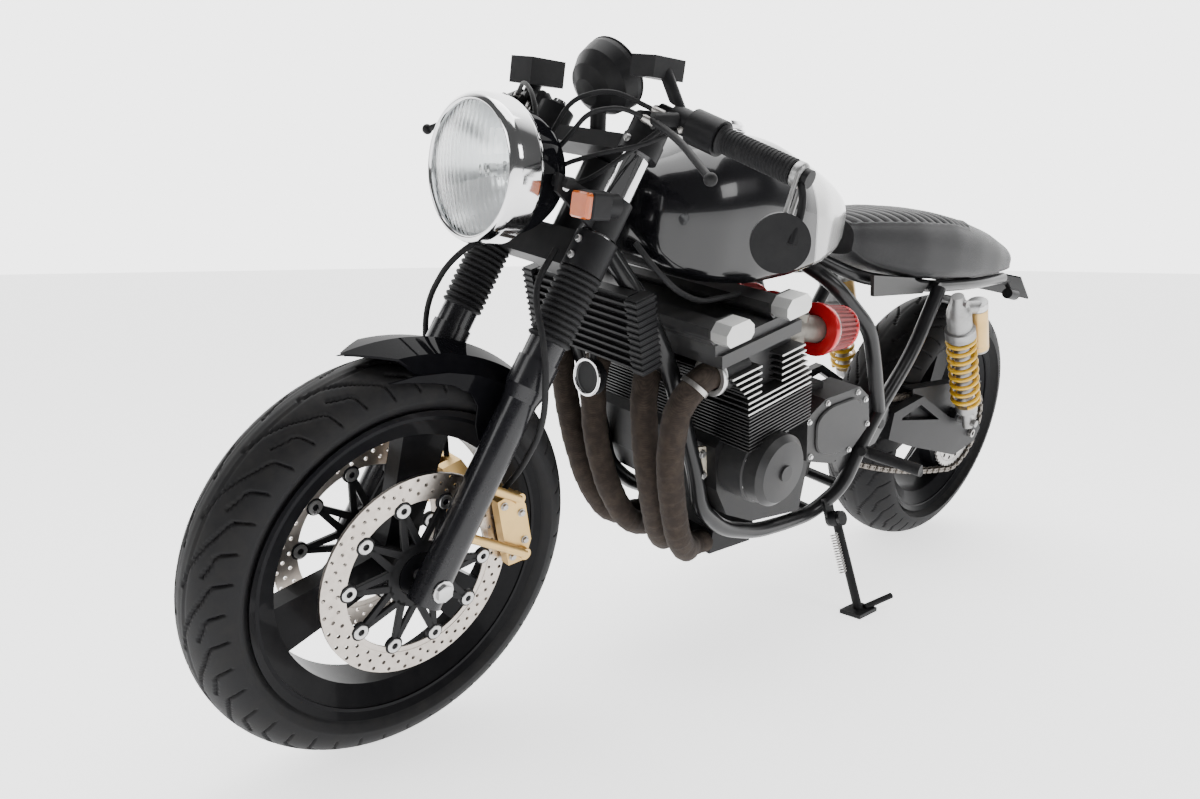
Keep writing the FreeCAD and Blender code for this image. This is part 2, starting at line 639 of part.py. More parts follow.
def gauge():
    facing = vec(-math.cos(math.radians(GAUGE_TILT)), 0, math.sin(math.radians(GAUGE_TILT)))
    cup = [(0, -60), (20, -58), (38, -47), (50, -27), (54, -6), (54, 2), (49, 2), (47, -4), (0, -4)]
    body = turned(cup, vec(*GAUGE), facing)
    post = rod(vec(GAUGE[0] + 24, 0, GAUGE[2] - 30), on_stem(UPPER_CLAMP_TOP) + vec(26, 0, 0), 12.0)
    add("steering", "gauge", joined([body, post]))
    tank = box(RESERVOIR[0] - 34, RESERVOIR[0] + 34, -RESERVOIR[1] - 26, -RESERVOIR[1] + 26, RESERVOIR[2] - 20,
               RESERVOIR[2] + 20)
    lower = rod(vec(RESERVOIR[0], -RESERVOIR[1], RESERVOIR[2] - 10), bar_line(-1, RESERVOIR[1]) + vec(0, 0, 8), 12.0)
    lower = lower.cut(rod(bar_line(-1, BAR_INNER_Y), bar_line(-1, BAR_END_Y), 18.0))
    NODES["switchgear"].append(joined([tank, lower]))
    x, y, z = CLUTCH_TANK
    tank = box(x - 30, x + 30, y - 22, y + 22, z - 14, z + 14)
    post = rod(vec(x, y + 12, z), bar_line(1, RESERVOIR[1]), 9.0)
    post = post.cut(rod(bar_line(1, BAR_INNER_Y), bar_line(1, BAR_END_Y), 18.0))
    NODES["switchgear"].append(joined([tank, post]))


def brake_hoses():
    hoses = []
    for side in (1, -1):
        hoses.append(tube([on_leg(side, 486, 34) - Y_AXIS * (side * 30), on_leg(side, 420, 62) - Y_AXIS * (side * 6),
                           on_leg(side, 350, 34) + Y_AXIS * (side * 40), on_leg(side, 262, -20) + Y_AXIS * (side * 44),
                           on_leg(side, 190, -66) - Y_AXIS * (side * 6), on_leg(side, 150, -76) - Y_AXIS * (side * 30)], 4.5))
    return hoses


def frame():
    """Head tube, backbone, double cradle, pivot plates and cross tubes as one welded frame."""
    pieces = [rod(on_stem(HEAD_LOW), on_stem(HEAD_TOP), HEAD_TUBE_RADIUS)]
    pieces.append(tube([on_stem(HEAD_TOP - 66), vec(1000, 0, 784), vec(760, 0, 774), vec(640, 0, 740)], SPINE_TUBE))
    half = CRADLE_HALF
    rear = REAR_HALF
    for side in (1, -1):
        pieces.append(tube([
            on_stem(HEAD_LOW + 36) + Y_AXIS * (side * 14), vec(1160, side * 90, 668), vec(1106, side * 112, 574),
            vec(1004, side * half, 376), vec(978, side * half, 306), vec(905, side * half, 248),
            vec(800, side * half, 218), vec(700, side * half, 214), vec(610, side * half, 216),
            vec(545, side * rear, 270), vec(500, side * rear, 368), vec(454, side * rear, 442)], FRAME_TUBE, 0.4))
        low, high = (PLATE_INNER, PLATE_OUTER) if side > 0 else (-PLATE_OUTER, -PLATE_INNER)
        pieces.append(prism([(500, 470), (430, 452), (404, 400), (440, 348), (520, 330), (560, 300), (585, 330),
                             (530, 400)], low, high))
    for x, z, reach in ((600, 216, half), (545, 270, rear)):
        pieces.append(rod(vec(x, -reach, z), vec(x, reach, z), 11.0))
    shape = joined(pieces + stand_bracket())
    return shape.cut(rod(on_stem(HEAD_LOW - 10), on_stem(HEAD_TOP + 10), STEM_RADIUS + 3))


def seat_frame():
    """The seat rails, the struts that hold them up from the pivot plates, and their cross tubes."""
    pieces = []
    for side in (1, -1):
        rear = side * REAR_HALF
        pieces.append(tube([vec(460, rear, 434), vec(367, side * 134, 540), vec(300, side * 128, 676)],
                           FRAME_TUBE, 0.4))
        pieces.append(tube([vec(700, side * 10, 732), vec(664, side * 98, 692), vec(560, side * 134, 604),
                            vec(521, rear, 532), vec(466, rear, 428)], FRAME_TUBE, 0.4))
        pieces.append(tube([vec(660, side * 8, 738), vec(560, side * 84, 696), vec(300, side * 100, 672),
                            vec(60, side * 94, 672), vec(-120, side * 76, 678)], REAR_TUBE, 0.4))
    for x, z, reach in ((300, 676, 128), (60, 672, 94)):
        pieces.append(rod(vec(x, -reach, z), vec(x, reach, z), 11.0))
    return joined(pieces)


PORTS = (172, 57, -57, -172)
PIPE_ROUTES = (
    [(1050, 172, 573), (1092, 170, 567), (1126, 160, 520), (1118, 152, 430), (1090, 148, 352), (1050, 140, 272),
     (992, 116, 224), (942, 79, 208), (897, 79, 206)],
    [(1050, 57, 573), (1092, 60, 567), (1120, 80, 515), (1112, 94, 425), (1084, 97, 343), (1040, 84, 262),
     (985, 54, 220), (940, 27, 208), (897, 27, 206)],
    [(1050, -57, 573), (1092, -56, 567), (1116, -44, 500), (1102, -34, 400), (1076, -16, 316), (1032, -6, 250),
     (985, -18, 220), (940, -27, 208), (897, -27, 206)],
    [(1050, -172, 573), (1092, -166, 561), (1110, -127, 490), (1096, -100, 390), (1068, -76, 300),
     (1022, -68, 240), (975, -74, 216), (935, -79, 208), (897, -79, 206)],
)


def engine():
    crank = prism([(985, 455), (1002, 430), (980, 350), (940, 296), (860, 266), (680, 254), (610, 290), (590, 400),
                   (630, 470), (720, 520), (830, 500)], -CASE_HALF, CASE_HALF)
    pocket = box(500, POCKET_X, CHAIN_Y - CHAIN_WIDTH / 2 - 6, CASE_HALF + 10, 200, 600)
    shaft = rod(vec(FRONT_SPROCKET_X, 40, FRONT_SPROCKET_Z), vec(FRONT_SPROCKET_X, CHAIN_Y + 8, FRONT_SPROCKET_Z), 31.0)
    add("chassis", "crankcase", joined([crank.cut(pocket), shaft]))
    lean = math.radians(CYLINDER_LEAN)
    up = vec(math.sin(lean), 0, math.cos(lean))
    fore = vec(math.cos(lean), 0, -math.sin(lean))
    base = vec(BLOCK_X, 0, BLOCK_Z)

    def tilted(outline, half):
        """A block across the bike: its outline is given ahead of and above the cylinders' foot, along their lean."""
        points = [base + fore * ahead + up * above - Y_AXIS * half for ahead, above in outline]
        return Part.Face(Part.makePolygon(points + points[:1])).extrude(Y_AXIS * (2 * half))

    def slab(low, high, back, front, half):
        return tilted([(back, low), (front, low), (front, high), (back, high)], half)

    fins = [tilted([(-84, -10), (34, -10), (36, 106), (74, HEAD_LOW_EDGE + 4), (-80, HEAD_LOW_EDGE + 4)],
                   BLOCK_HALF - 26)]
    for count in range(LOWER_FINS):
        low = 14 + count * LOWER_FIN_PITCH
        fins.append(slab(low, low + LOWER_FIN, -112, 54, BLOCK_HALF - 2))
    for count in range(FULL_FINS):
        low = 84 + count * FULL_FIN_PITCH
        fins.append(slab(low, low + FIN_THICKNESS, -106, 58, BLOCK_HALF))
    for count in range(HEAD_FINS):
        low = 115 + count * HEAD_FIN_PITCH
        fins.append(slab(low, low + FIN_THICKNESS, 3 * count - 98, -26, BLOCK_HALF))
        fins.append(slab(low, low + FIN_THICKNESS, 26, 60 + 9 * count, BLOCK_HALF))
    fins.append(slab(HEAD_LOW_EDGE, HEAD_HIGH_EDGE, -84, 112, BLOCK_HALF - 8))
    for y in PORTS:
        fins.append(rod(vec(1006, y, 578), vec(1068, y, 570), PORT_RADIUS))
    add("chassis", "cylinder_block", joined(fins))
    cams = [slab(HEAD_HIGH_EDGE, CAM_BASE_TOP, -76, 121, BLOCK_HALF - 14)]
    for centre in (REAR_CAM, FRONT_CAM):
        cams.append(tilted([(centre - 30, 221), (centre + 20, 221), (centre + 29, 232), (centre + 29, 237),
                            (centre + 20, 246), (centre - 20, 246), (centre - 30, 236)], BLOCK_HALF - 16))
        for side in (1, -1):
            cap = tilted([(centre - 23, 228), (centre + 23, 228), (centre + 31, 236), (centre + 31, 249),
                          (centre + 19, 261), (centre - 19, 261), (centre - 31, 249), (centre - 31, 236)], 18)
            cap.translate(Y_AXIS * (side * BLOCK_HALF))
            cams.append(cap)
    add("chassis", "cam_cover", joined(cams))
    middle = vec(ALTERNATOR_X, 150, ALTERNATOR_Z)
    cover = turned([(0, 0), (ALTERNATOR_RADIUS + 4, 0), (ALTERNATOR_RADIUS + 4, 48), (ALTERNATOR_RADIUS, 50),
                    (ALTERNATOR_RADIUS, 76), (ALTERNATOR_RADIUS - 10, 86), (14, 89), (14, 93), (0, 93)], middle, Y_AXIS)
    clutch = turned([(0, 0), (78, 0), (78, 30), (66, 44), (20, 48), (0, 48)], vec(760, -150, 380), Y_AXIS * -1)
    starter = turned([(0, 0), (58, 0), (58, 34), (48, 44), (0, 44)], vec(ALTERNATOR_X, -150, ALTERNATOR_Z), Y_AXIS * -1)
    sprocket = prism([(806, 470), (760, 500), (650, 512), (612, 490), (586, 430), (640, 378), (700, 366), (782, 384)],
                     CHAIN_Y + CHAIN_WIDTH / 2 + 6, 190)
    add("chassis", "engine_covers", [cover, joined([clutch, starter]), sprocket])
    bodies = []
    filters = []
    for y in (150, 50, -50, -150):
        mouth = vec(905, y, 636)
        back = vec(772, y, 620)
        bodies.append(rod(mouth, back, 24.0))
        bodies.append(rod(vec(838, y, 574), vec(838, y, 654), 21.0))
        flange = rod(vec(776, y, 620), vec(766, y, 620), FILTER_RADIUS + 2)
        filters.append(joined([flange, cone(vec(768, y, 620), vec(690, y, 619), FILTER_RADIUS, FILTER_RADIUS - 6)]))
    add("chassis", "carburettors", [joined(bodies[index:index + 2]) for index in range(0, 8, 2)])
    add("chassis", "air_filters", filters)


def exhaust():
    pipes = [tube([vec(*point) for point in route], PIPE_RADIUS, 0.42) for route in PIPE_ROUTES]
    add("chassis", "exhaust_headers", pipes)
    collector = joined([box(780, 900, -98, 98, 186, 232), tube([vec(800, -46, 206), vec(720, -66, 184),
                        vec(630, -118, 158), vec(545, -186, 178), vec(490, -190, 206)], 30.0)])
    can = turned([(0, 0), (38, 0), (56, 30), (56, 300), (50, 330), (20, 330), (20, 260), (0, 260)],
                 vec(506, -189, 198), vec(-1, -0.06, 0.26))
    add("chassis", "silencer", joined([collector, can]))
    fins = []
    for count in range(9):
        low = 4 + count * 13
        fins.append(Part.makeBox(34, 220, 4, vec(-17, -110, low)))
    fins.append(Part.makeBox(20, 214, 122, vec(-10, -107, 0)))
    for side in (1, -1):
        fins.append(Part.makeBox(38, 22, 122, vec(-19, 110 if side > 0 else -132, 0)))
    cooler = joined(fins)
    cooler.rotate(vec(0, 0, 0), Y_AXIS, 18)
    cooler.translate(vec(1164, 0, 573))
    horn = turned([(0, -20), (16, -20), (30, -5), (30, 6), (24, 8), (0, 8)], vec(1162, 0, 528), X_AXIS)
    stays = [horn, rod(vec(1158, 0, 530), vec(1168, 0, 580), 6.0)]
    stays += [rod(vec(1190, side * 70, 650), vec(1146, side * 98, 650), 6.0) for side in (1, -1)]
    cooler = joined([cooler] + stays)
    add("chassis", "oil_cooler", cooler)


def rear_end():
    arms = []
    for side in (1, -1):
        low = ARM_INNER if side > 0 else -ARM_OUTER
        axle_end = [(60, 41), (-36, 25), (-52, 5), (-36, -27), (60, -49)]
        axle_end = [(REAR_AXLE.x + x, REAR_AXLE.z + z) for x, z in axle_end]
        beam = prism([(400, 412), (285, 436), (128, 366)] + axle_end + [(300, 322), (400, 352)],
                     low, low + ARM_OUTER - ARM_INNER)
        arms.append(beam.cut(prism([(374, 392), (287, 417), (182, 369)], -ARM_OUTER - 5, ARM_OUTER + 5)))
        boss = REAR_AXLE + vec(SHOCK_LOW[0], 0, SHOCK_LOW[2])
        arms.append(rod(boss + Y_AXIS * (side * ARM_INNER), boss + Y_AXIS * (side * ARM_OUTER), 22.0))
        low = INNER_ARM - 20 if side > 0 else -INNER_ARM
        arms.append(prism([(360, 408), (450, 412), (462, 392), (450, 370), (360, 352)], low, low + 20))
    arms.append(rod(vec(PIVOT_X, -INNER_ARM, PIVOT_Z), vec(PIVOT_X, INNER_ARM, PIVOT_Z), 20.0))
    arms.append(rod(vec(PIVOT_X, -PLATE_OUTER - 6, PIVOT_Z), vec(PIVOT_X, PLATE_OUTER + 6, PIVOT_Z), 10.0))
    arms.append(box(360, 400, -ARM_OUTER, ARM_OUTER, 354, 406))
    shape = joined(arms + [chain_guard()])
    shape = shape.cut(rod(REAR_AXLE - Y_AXIS * 200, REAR_AXLE + Y_AXIS * 200, AXLE_RADIUS))
    add("chassis", "swingarm", shape)
    axle = rod(REAR_AXLE - Y_AXIS * REAR_AXLE_HALF, REAR_AXLE + Y_AXIS * REAR_AXLE_HALF, AXLE_RADIUS)
    add("chassis", "rear_axle", axle.cut(rod(REAR_AXLE - Y_AXIS * 160, REAR_AXLE + Y_AXIS * 160, AXLE_BORE)))
    shocks = []
    springs = []
    top = vec(*SHOCK_TOP)
    low = REAR_AXLE + vec(*SHOCK_LOW)
    axis = (low - top)
    length = axis.Length
    axis = axis * (1 / length)
    profile = [(0, -16), (13, -16), (19, 6), (24, 20), (26, 30), (26, 70), (32, 72), (32, 94), (17, 94), (17, 290),
               (24, 294), (24, 312), (12, 322), (12, length + 14), (0, length + 14)]
    body = turned(profile, top, axis)
    across = vec(axis.z, 0, -axis.x)
    beside = top + Y_AXIS * 6
    tank = rod(beside + axis * 45 + across * 66, beside + axis * 173 + across * 58, 21.0)
    bridge = rod(top + axis * 16, beside + axis * 54 + across * 60, 15.0)
    pins = [rod(top - Y_AXIS * 34, top + Y_AXIS * 22, 8.0),
            rod(low - Y_AXIS * (SHOCK_LOW[1] - ARM_OUTER), low + Y_AXIS * 22, 8.0)]
    shock = joined([body, tank, bridge] + pins)
    spring = [(17, 94)]
    turns = 7
    pitch = (290 - 94) / turns
    for turn in range(turns):
        start = 94 + turn * pitch
        spring.append((33, start + pitch * 0.18))
        spring.append((33, start + pitch * 0.5))
        spring.append((25, start + pitch * 0.68))
        spring.append((25, start + pitch))
    spring.append((17, 290))
    coil = turned(spring, top, axis)
    add("chassis", "shock_bodies", both_sides(shock))
    add("chassis", "shock_springs", both_sides(coil))


def bodywork():
    rows = [
        (1146, 58, 756, 846, 18, 50, 0.5), (1118, 92, 716, 876, 24, 90, 0.42), (1050, 132, 700, 914, 26, 120, 0.4),
        (960, 144, 697, 938, 26, 130, 0.38), (860, 143, 708, 932, 26, 128, 0.4), (760, 130, 724, 906, 26, 110, 0.42),
        (680, 104, 742, 882, 24, 90, 0.42), (620, 74, 770, 856, 16, 50, 0.45)]
    tank = loft([row for row in rows])
    tunnel = box(500, 1300, -TUNNEL_HALF, TUNNEL_HALF, 600, TUNNEL_TOP)
    tank = tank.cut(tunnel)
    add("chassis", "fuel_tank", tank)
    add("chassis", "fuel_cap", turned([(0, -6), (34, -6), (34, 8), (28, 14), (0, 14)], vec(930, 0, 938), Z_AXIS))
    rows = [
        (596, 84, 738, 806, 10, 30, 0.6), (500, 104, 700, 816, 12, 40, 0.62), (380, 122, 684, 824, 12, 40, 0.66),
        (240, 128, 680, 824, 12, 46, 0.64), (120, 124, 680, 812, 12, 56, 0.56), (0, 112, 682, 794, 12, 60, 0.5),
        (-120, 90, 688, 770, 10, 50, 0.45), (-210, 56, 696, 742, 8, 28, 0.45)]
    add("chassis", "seat", loft(rows))
    covers = []
    for side in (1, -1):
        panel = prism([(560, 706), (330, 694), (352, 664), (545, 664)], side * 116 - 4, side * 116 + 4)
        covers.append(panel)
    add("chassis", "side_covers", covers)
    bracket = [box(-190, -60, -72, 72, 658, 668), box(-250, -180, -10, 10, 656, 668)]
    plate = Part.makeBox(4, 170, 100, vec(-2, -85, -50))
    plate.rotate(vec(0, 0, 0), Y_AXIS, 55)
    plate.translate(vec(-250, 0, 650))
    bracket.append(plate)
    for side in (1, -1):
        bracket.append(rod(vec(-196, side * 86, 634), vec(-150, side * 86, 640), 13.0))
        bracket.append(rod(vec(-172, side * 66, 663), vec(-172, side * 86, 640), 6.0))
    add("chassis", "plate_holder", joined(bracket))


def footrests():
    """Hangers with a peg each, the shift lever behind the left one and the brake pedal ahead of the right one."""
    pegs = []
    for side in (1, -1):
        hanger = rod(vec(506, side * (PLATE_OUTER - 2), 350), vec(500, side * 152, 342), 14.0)
        peg = rod(vec(498, side * 146, 343), vec(478, side * 262, 339), 12.0)
        toe_x, toe_z = (392, 304) if side > 0 else (640, 318)
        start_x = 530 if side > 0 else 520
        lever = tube([vec(start_x, side * 156, 350), vec((start_x + toe_x) / 2, side * 160, 322),
                      vec(toe_x, side * 182, toe_z)], 6.0)
        toe = rod(vec(toe_x, side * 178, toe_z), vec(toe_x, side * 226, toe_z), 8.0)
        arm = rod(vec(500, side * 148, 343), vec(534, side * 158, 352), 9.0)
        pegs.append(joined([hanger, peg, lever, toe, arm]))
    return pegs


def stand_axis():
    """The stand's pin: square to the leg, so that the leg swings back close beside the frame."""
    leg = (stand_foot() - vec(*STAND_PIVOT)).normalize()
    return leg.cross(vec(-1, STAND_TOE_IN, 0)).normalize()


def stand_foot():
    """The middle of the foot's underside, on the floor."""
    return vec(*STAND_FOOT)


def side_stand():
    pivot = vec(*STAND_PIVOT)
    floor = POSE.inverse()
    foot = POSE.multVec(stand_foot())
    plate = Part.makeBox(64, 46, 8, vec(foot.x - 32, foot.y - 23, 0))
    plate.Placement = floor.multiply(plate.Placement)
    ankle = floor.multVec(vec(foot.x, foot.y, 6))
    leg = rod(ankle, pivot, STAND_LEG_RADIUS)
    tang = rod(floor.multVec(vec(foot.x - 10, foot.y + 8, 10)),
               floor.multVec(vec(foot.x - 74, foot.y + 30, 24)), 6.0)
    pin = stand_axis()
    eye = rod(pivot - pin * STAND_EYE_HALF, pivot + pin * STAND_EYE_HALF, 16.0)
    hole = rod(pivot - pin * 30, pivot + pin * 30, STAND_PIN_RADIUS + PIN_GAP)
    add("side_stand", "stand_leg", joined([leg, plate, tang, eye]).cut(hole))


def stand_bracket():
    """Two ears and the pin that carry the stand, and the plate that ties the inner ear to the cradle tube."""
    pivot = vec(*STAND_PIVOT)
    pin = stand_axis()
    near = STAND_EYE_HALF + CLEAR
    far = near + STAND_EAR
    pieces = [rod(pivot - pin * far, pivot + pin * far, STAND_PIN_RADIUS)]
    for side in (1, -1):
        pieces.append(rod(pivot + pin * (side * near), pivot + pin * (side * far), 15.0))
    toward = vec(STAND_PIVOT[0], CRADLE_HALF + 6, STAND_PIVOT[2] + 22) - pivot
    toward = (toward - pin * toward.dot(pin)).normalize()
    plate = Part.makeBox(44, 28, STAND_EAR, vec(0, -14, 0))
    plate.Placement = FreeCAD.Placement(pivot - pin * far, FreeCAD.Rotation(toward, pin.cross(toward), pin, "ZXY"))
    return pieces + [plate]


def tyre_low(placement, centre, radius, width, crown):
    """Height of a leaning tyre's lowest point above the floor."""
    hub = placement.multVec(centre)
    spin = placement.Rotation.multVec(Y_AXIS)
    sine = abs(spin.z)
    cosine = math.sqrt(1 - sine * sine)
    reach = (radius - crown) * cosine + math.hypot(width / 2 * sine, crown * cosine)
    return hub.z - reach


def steered(degrees):
    """The turn of the fork about its axis."""
    return FreeCAD.Placement(vec(0, 0, 0), FreeCAD.Rotation(FORK_UP, degrees), STEER_FOOT)


def resting_pose():
    """Lean, pitch and height that set both tyres on the floor."""
    pitch = 0.0
    lift = 0.0
    for step in range(8):
        turn = FreeCAD.Rotation(Y_AXIS, pitch).multiply(FreeCAD.Rotation(X_AXIS, -LEAN))
        pose = FreeCAD.Placement(vec(0, 0, lift), turn)
        front = tyre_low(pose.multiply(steered(REST_STEER)), FRONT_AXLE, FRONT_TYRE_RADIUS, FRONT_TYRE_WIDTH,
                         FRONT_CROWN)
        rear = tyre_low(pose, REAR_AXLE, REAR_TYRE_RADIUS, REAR_TYRE_WIDTH, REAR_CROWN)
        lift -= rear
        pitch += math.degrees((front - rear) / WHEELBASE)
    return FreeCAD.Placement(vec(0, 0, lift), turn)


POSE = resting_pose()
MIDDLE_X = (FRONT_AXLE.x + FRONT_TYRE_RADIUS + REAR_AXLE.x - REAR_TYRE_RADIUS) / 2
ORIGIN = vec(MIDDLE_X, ORIGIN_SIDE, 0)
STEER_POSE = POSE.multiply(steered(REST_STEER))


SEATS = {
    "cylinder_block": ["crankcase"],
    "cam_cover": ["cylinder_block"],
    "engine_covers": ["crankcase", "cylinder_block"],
    "carburettors": ["cylinder_block", "cam_cover"],
    "air_filters": ["carburettors"],
    "exhaust_headers": ["cylinder_block"],
    "silencer": ["exhaust_headers"],
    "main_frame": ["swingarm", "crankcase", "cylinder_block"],
    "seat_frame": ["main_frame"],
    "oil_cooler": ["main_frame"],
    "footrests": ["main_frame"],
    "seat": ["seat_frame"],
    "side_covers": ["seat_frame", "seat"],
    "plate_holder": ["seat_frame"],
    "fuel_cap": ["fuel_tank"],
    "front_fender": ["fork_sliders"],
    "front_calipers": ["fork_sliders"],
    "brake_hoses": ["front_calipers", "fork_clamps"],
    "lamp_brackets": ["fork_tubes", "headlamp_bowl"],
    "gauge": ["fork_clamps"],
    "mirror": ["handlebars"],
}


def seat_pieces():
    """Each piece gives way to what carries it, so that the two meet face to face, with no crumbs left."""
    for name, carriers in SEATS.items():
        seated = []
        for shape in NODES[name]:
            for carrier in carriers:
                for solid in NODES[carrier]:
                    if shape.BoundBox.intersect(solid.BoundBox):
                        shape = shape.cut(solid)
            seated += [solid for solid in shape.Solids if solid.Volume > CRUMB]
        NODES[name] = seated


def write_parts():
    os.makedirs("parts", exist_ok=True)
    for body, names in BODIES.items():
        pose = STEER_POSE if body in ("steering", "front_wheel") else POSE
        placement = FreeCAD.Placement(ORIGIN * -1, FreeCAD.Rotation()).multiply(pose)
        for name in names:
            solids = [solid for shape in NODES[name] for solid in shape.Solids]
            whole = Part.makeCompound([solid.copy() for solid in solids])
            whole.Placement = placement.multiply(whole.Placement)
            whole.exportStep(f"parts/{name}.step")


wheels()
drive()
fork()
add("steering", "front_fender", front_fender())
add("steering", "front_calipers", calipers())
controls()
lamp()
gauge()
add("steering", "brake_hoses", brake_hoses())
add("chassis", "main_frame", frame())
add("chassis", "seat_frame", seat_frame())
engine()
exhaust()
rear_end()
bodywork()
add("chassis", "footrests", footrests())
side_stand()
seat_pieces()
write_parts()
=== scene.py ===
"""Looks for a cafe racer that leans on its side stand.

Shapes are drawn in millimetres on the upright bike: x forward from the rear axle, y to the rider's left,
z up. Fork pieces are drawn the same way before the fork turns. A shape is its points and a list of face
arrays.
"""
import json
import math

import bpy
import numpy as np
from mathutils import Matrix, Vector


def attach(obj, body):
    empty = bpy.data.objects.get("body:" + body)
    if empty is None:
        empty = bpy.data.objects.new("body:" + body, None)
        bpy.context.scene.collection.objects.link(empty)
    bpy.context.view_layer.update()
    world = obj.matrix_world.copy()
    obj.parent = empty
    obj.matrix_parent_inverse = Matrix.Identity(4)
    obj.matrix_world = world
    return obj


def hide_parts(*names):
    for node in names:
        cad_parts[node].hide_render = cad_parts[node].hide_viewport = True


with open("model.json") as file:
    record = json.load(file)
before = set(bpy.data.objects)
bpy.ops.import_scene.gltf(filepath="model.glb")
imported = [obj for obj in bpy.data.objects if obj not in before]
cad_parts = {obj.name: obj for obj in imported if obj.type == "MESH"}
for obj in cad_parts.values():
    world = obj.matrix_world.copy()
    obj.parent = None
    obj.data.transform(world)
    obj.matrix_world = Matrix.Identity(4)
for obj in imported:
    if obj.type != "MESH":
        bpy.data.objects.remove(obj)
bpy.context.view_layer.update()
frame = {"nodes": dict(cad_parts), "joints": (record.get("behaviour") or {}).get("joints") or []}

MM = 0.001
RAKE = math.radians(26)
REAR_AXLE = np.array([0.0, 0.0, 311.0])
FRONT_AXLE = np.array([1515.0, 0.0, 298.0])
X_AXIS = np.array([1.0, 0.0, 0.0])
Y_AXIS = np.array([0.0, 1.0, 0.0])
Z_AXIS = np.array([0.0, 0.0, 1.0])
ORIGIN = np.zeros(3)
FORK_UP = np.array([-math.sin(RAKE), 0.0, math.cos(RAKE)])
FORK_AHEAD = np.array([math.cos(RAKE), 0.0, math.sin(RAKE)])
FORK_HALF = 103.0
TAU = 2 * math.pi
SIDES = (1, -1)
BLOCK_FOOT = np.array([935.0, 0.0, 440.0])
BLOCK_LEAN = math.radians(14)
# Stands a drawn outline upright: its first axis along x, its second along z, its thickness along y.
LAY = np.array([[1.0, 0, 0], [0, 0, 1.0], [0, 1.0, 0]])
JOINTS = {joint["name"]: joint for joint in frame["joints"]}


def unit(vectors):
    return vectors / np.linalg.norm(vectors, axis=-1, keepdims=True)


def mount(spin, axle):
    """How a drawing stands in the frame: y along a wheel's axle, x and z from the steering axis and the
    rake."""
    up = unit(np.array(JOINTS["steering"]["axis"]))
    side = unit(np.array(JOINTS[spin]["axis"]))
    ahead = unit(np.cross(side, up))
    x = math.cos(RAKE) * ahead - math.sin(RAKE) * up
    z = math.sin(RAKE) * ahead + math.cos(RAKE) * up
    return np.array([x, side, z]), axle, np.array(JOINTS[spin]["pos_m"])


BIKE = mount("rear_wheel_spin", REAR_AXLE)
FORK = mount("front_wheel_spin", FRONT_AXLE)


def placed(points, where):
    """Drawing millimetres to frame metres: turned about the axle and set at the axle's place."""
    axes, axle, place = where
    return (points - axle) @ axes * MM + place


def pointing(vector, where):
    return np.asarray(vector, float) @ where[0]


# Shapes


def volume(points, faces):
    """Signed volume: the sum over every fan triangle of its corners' triple product, over six."""
    total = 0.0
    for group in faces:
        first = points[group[:, :1]]
        fan = np.cross(points[group[:, 1:-1]], points[group[:, 2:]])
        total += np.sum(first * fan) / 6
    return total


def outward(shape):
    """The same shape with its faces turned so that its volume is positive."""
    points, faces = shape
    return (points, [group[:, ::-1] for group in faces]) if volume(points, faces) < 0 else shape


def surface(grid, around=False, along=False, ends=False):
    """Quads between neighbours of a rows by columns array of points; wrapped sides join, ends get one face
    each."""
    rows, columns = grid.shape[:2]
    index = np.arange(rows * columns).reshape(rows, columns)
    if around:
        index = np.concatenate([index, index[:, :1]], 1)
    if along:
        index = np.concatenate([index, index[:1]], 0)
    quads = np.stack([index[:-1, :-1], index[1:, :-1], index[1:, 1:], index[:-1, 1:]], -1).reshape(-1, 4)
    faces = [quads]
    if ends:
        faces.append(np.arange(columns)[None])
        faces.append((rows * columns - 1 - np.arange(columns))[None])
    return outward((grid.reshape(-1, 3), faces))


def together(*shapes):
    """Several shapes as one: the points in a row, the faces counted on."""
    starts = np.cumsum([0] + [len(points) for points, _ in shapes[:-1]])
    faces = [group + start for start, (_, groups) in zip(starts, shapes) for group in groups]
    return np.concatenate([points for points, _ in shapes]), faces


def copies(shape, turns, shifts):
    """One copy per turn and shift: every point times its turn, plus its shift."""
    points, faces = shape
    shifts = np.asarray(shifts, float)
    turns = np.broadcast_to(turns, (len(shifts), 3, 3))
    spread = np.einsum("vj,nij->nvi", points, turns) + shifts[:, None]
    steps = (np.arange(len(shifts)) * len(points))[:, None, None]
    return spread.reshape(-1, 3), [(group[None] + steps).reshape(-1, group.shape[1]) for group in faces]


def at_each(shape, places):
    """One copy of the shape at each place."""
    return copies(shape, np.eye(3), places)


def mirrored(shape):
    """The same shape on the other side of the bike."""
    points, faces = shape
    return points * [1, -1, 1], [group[:, ::-1] for group in faces]


def both(shape):
    return together(shape, mirrored(shape))


def facing(directions):
    """Turns whose third column points along each direction, one matrix for each."""
    third = unit(np.atleast_2d(np.asarray(directions, float)))
    helper = np.where(np.abs(third[:, 1:2]) > 0.9, X_AXIS, Y_AXIS)
    first = unit(np.cross(helper, third))
    return np.stack([first, np.cross(third, first), third], -1)


def circle_in(turn, angle):
    """Points of a unit circle in the plane of a turn's first two columns."""
    return np.column_stack([np.cos(angle), np.sin(angle)]) @ turn[:, :2].T


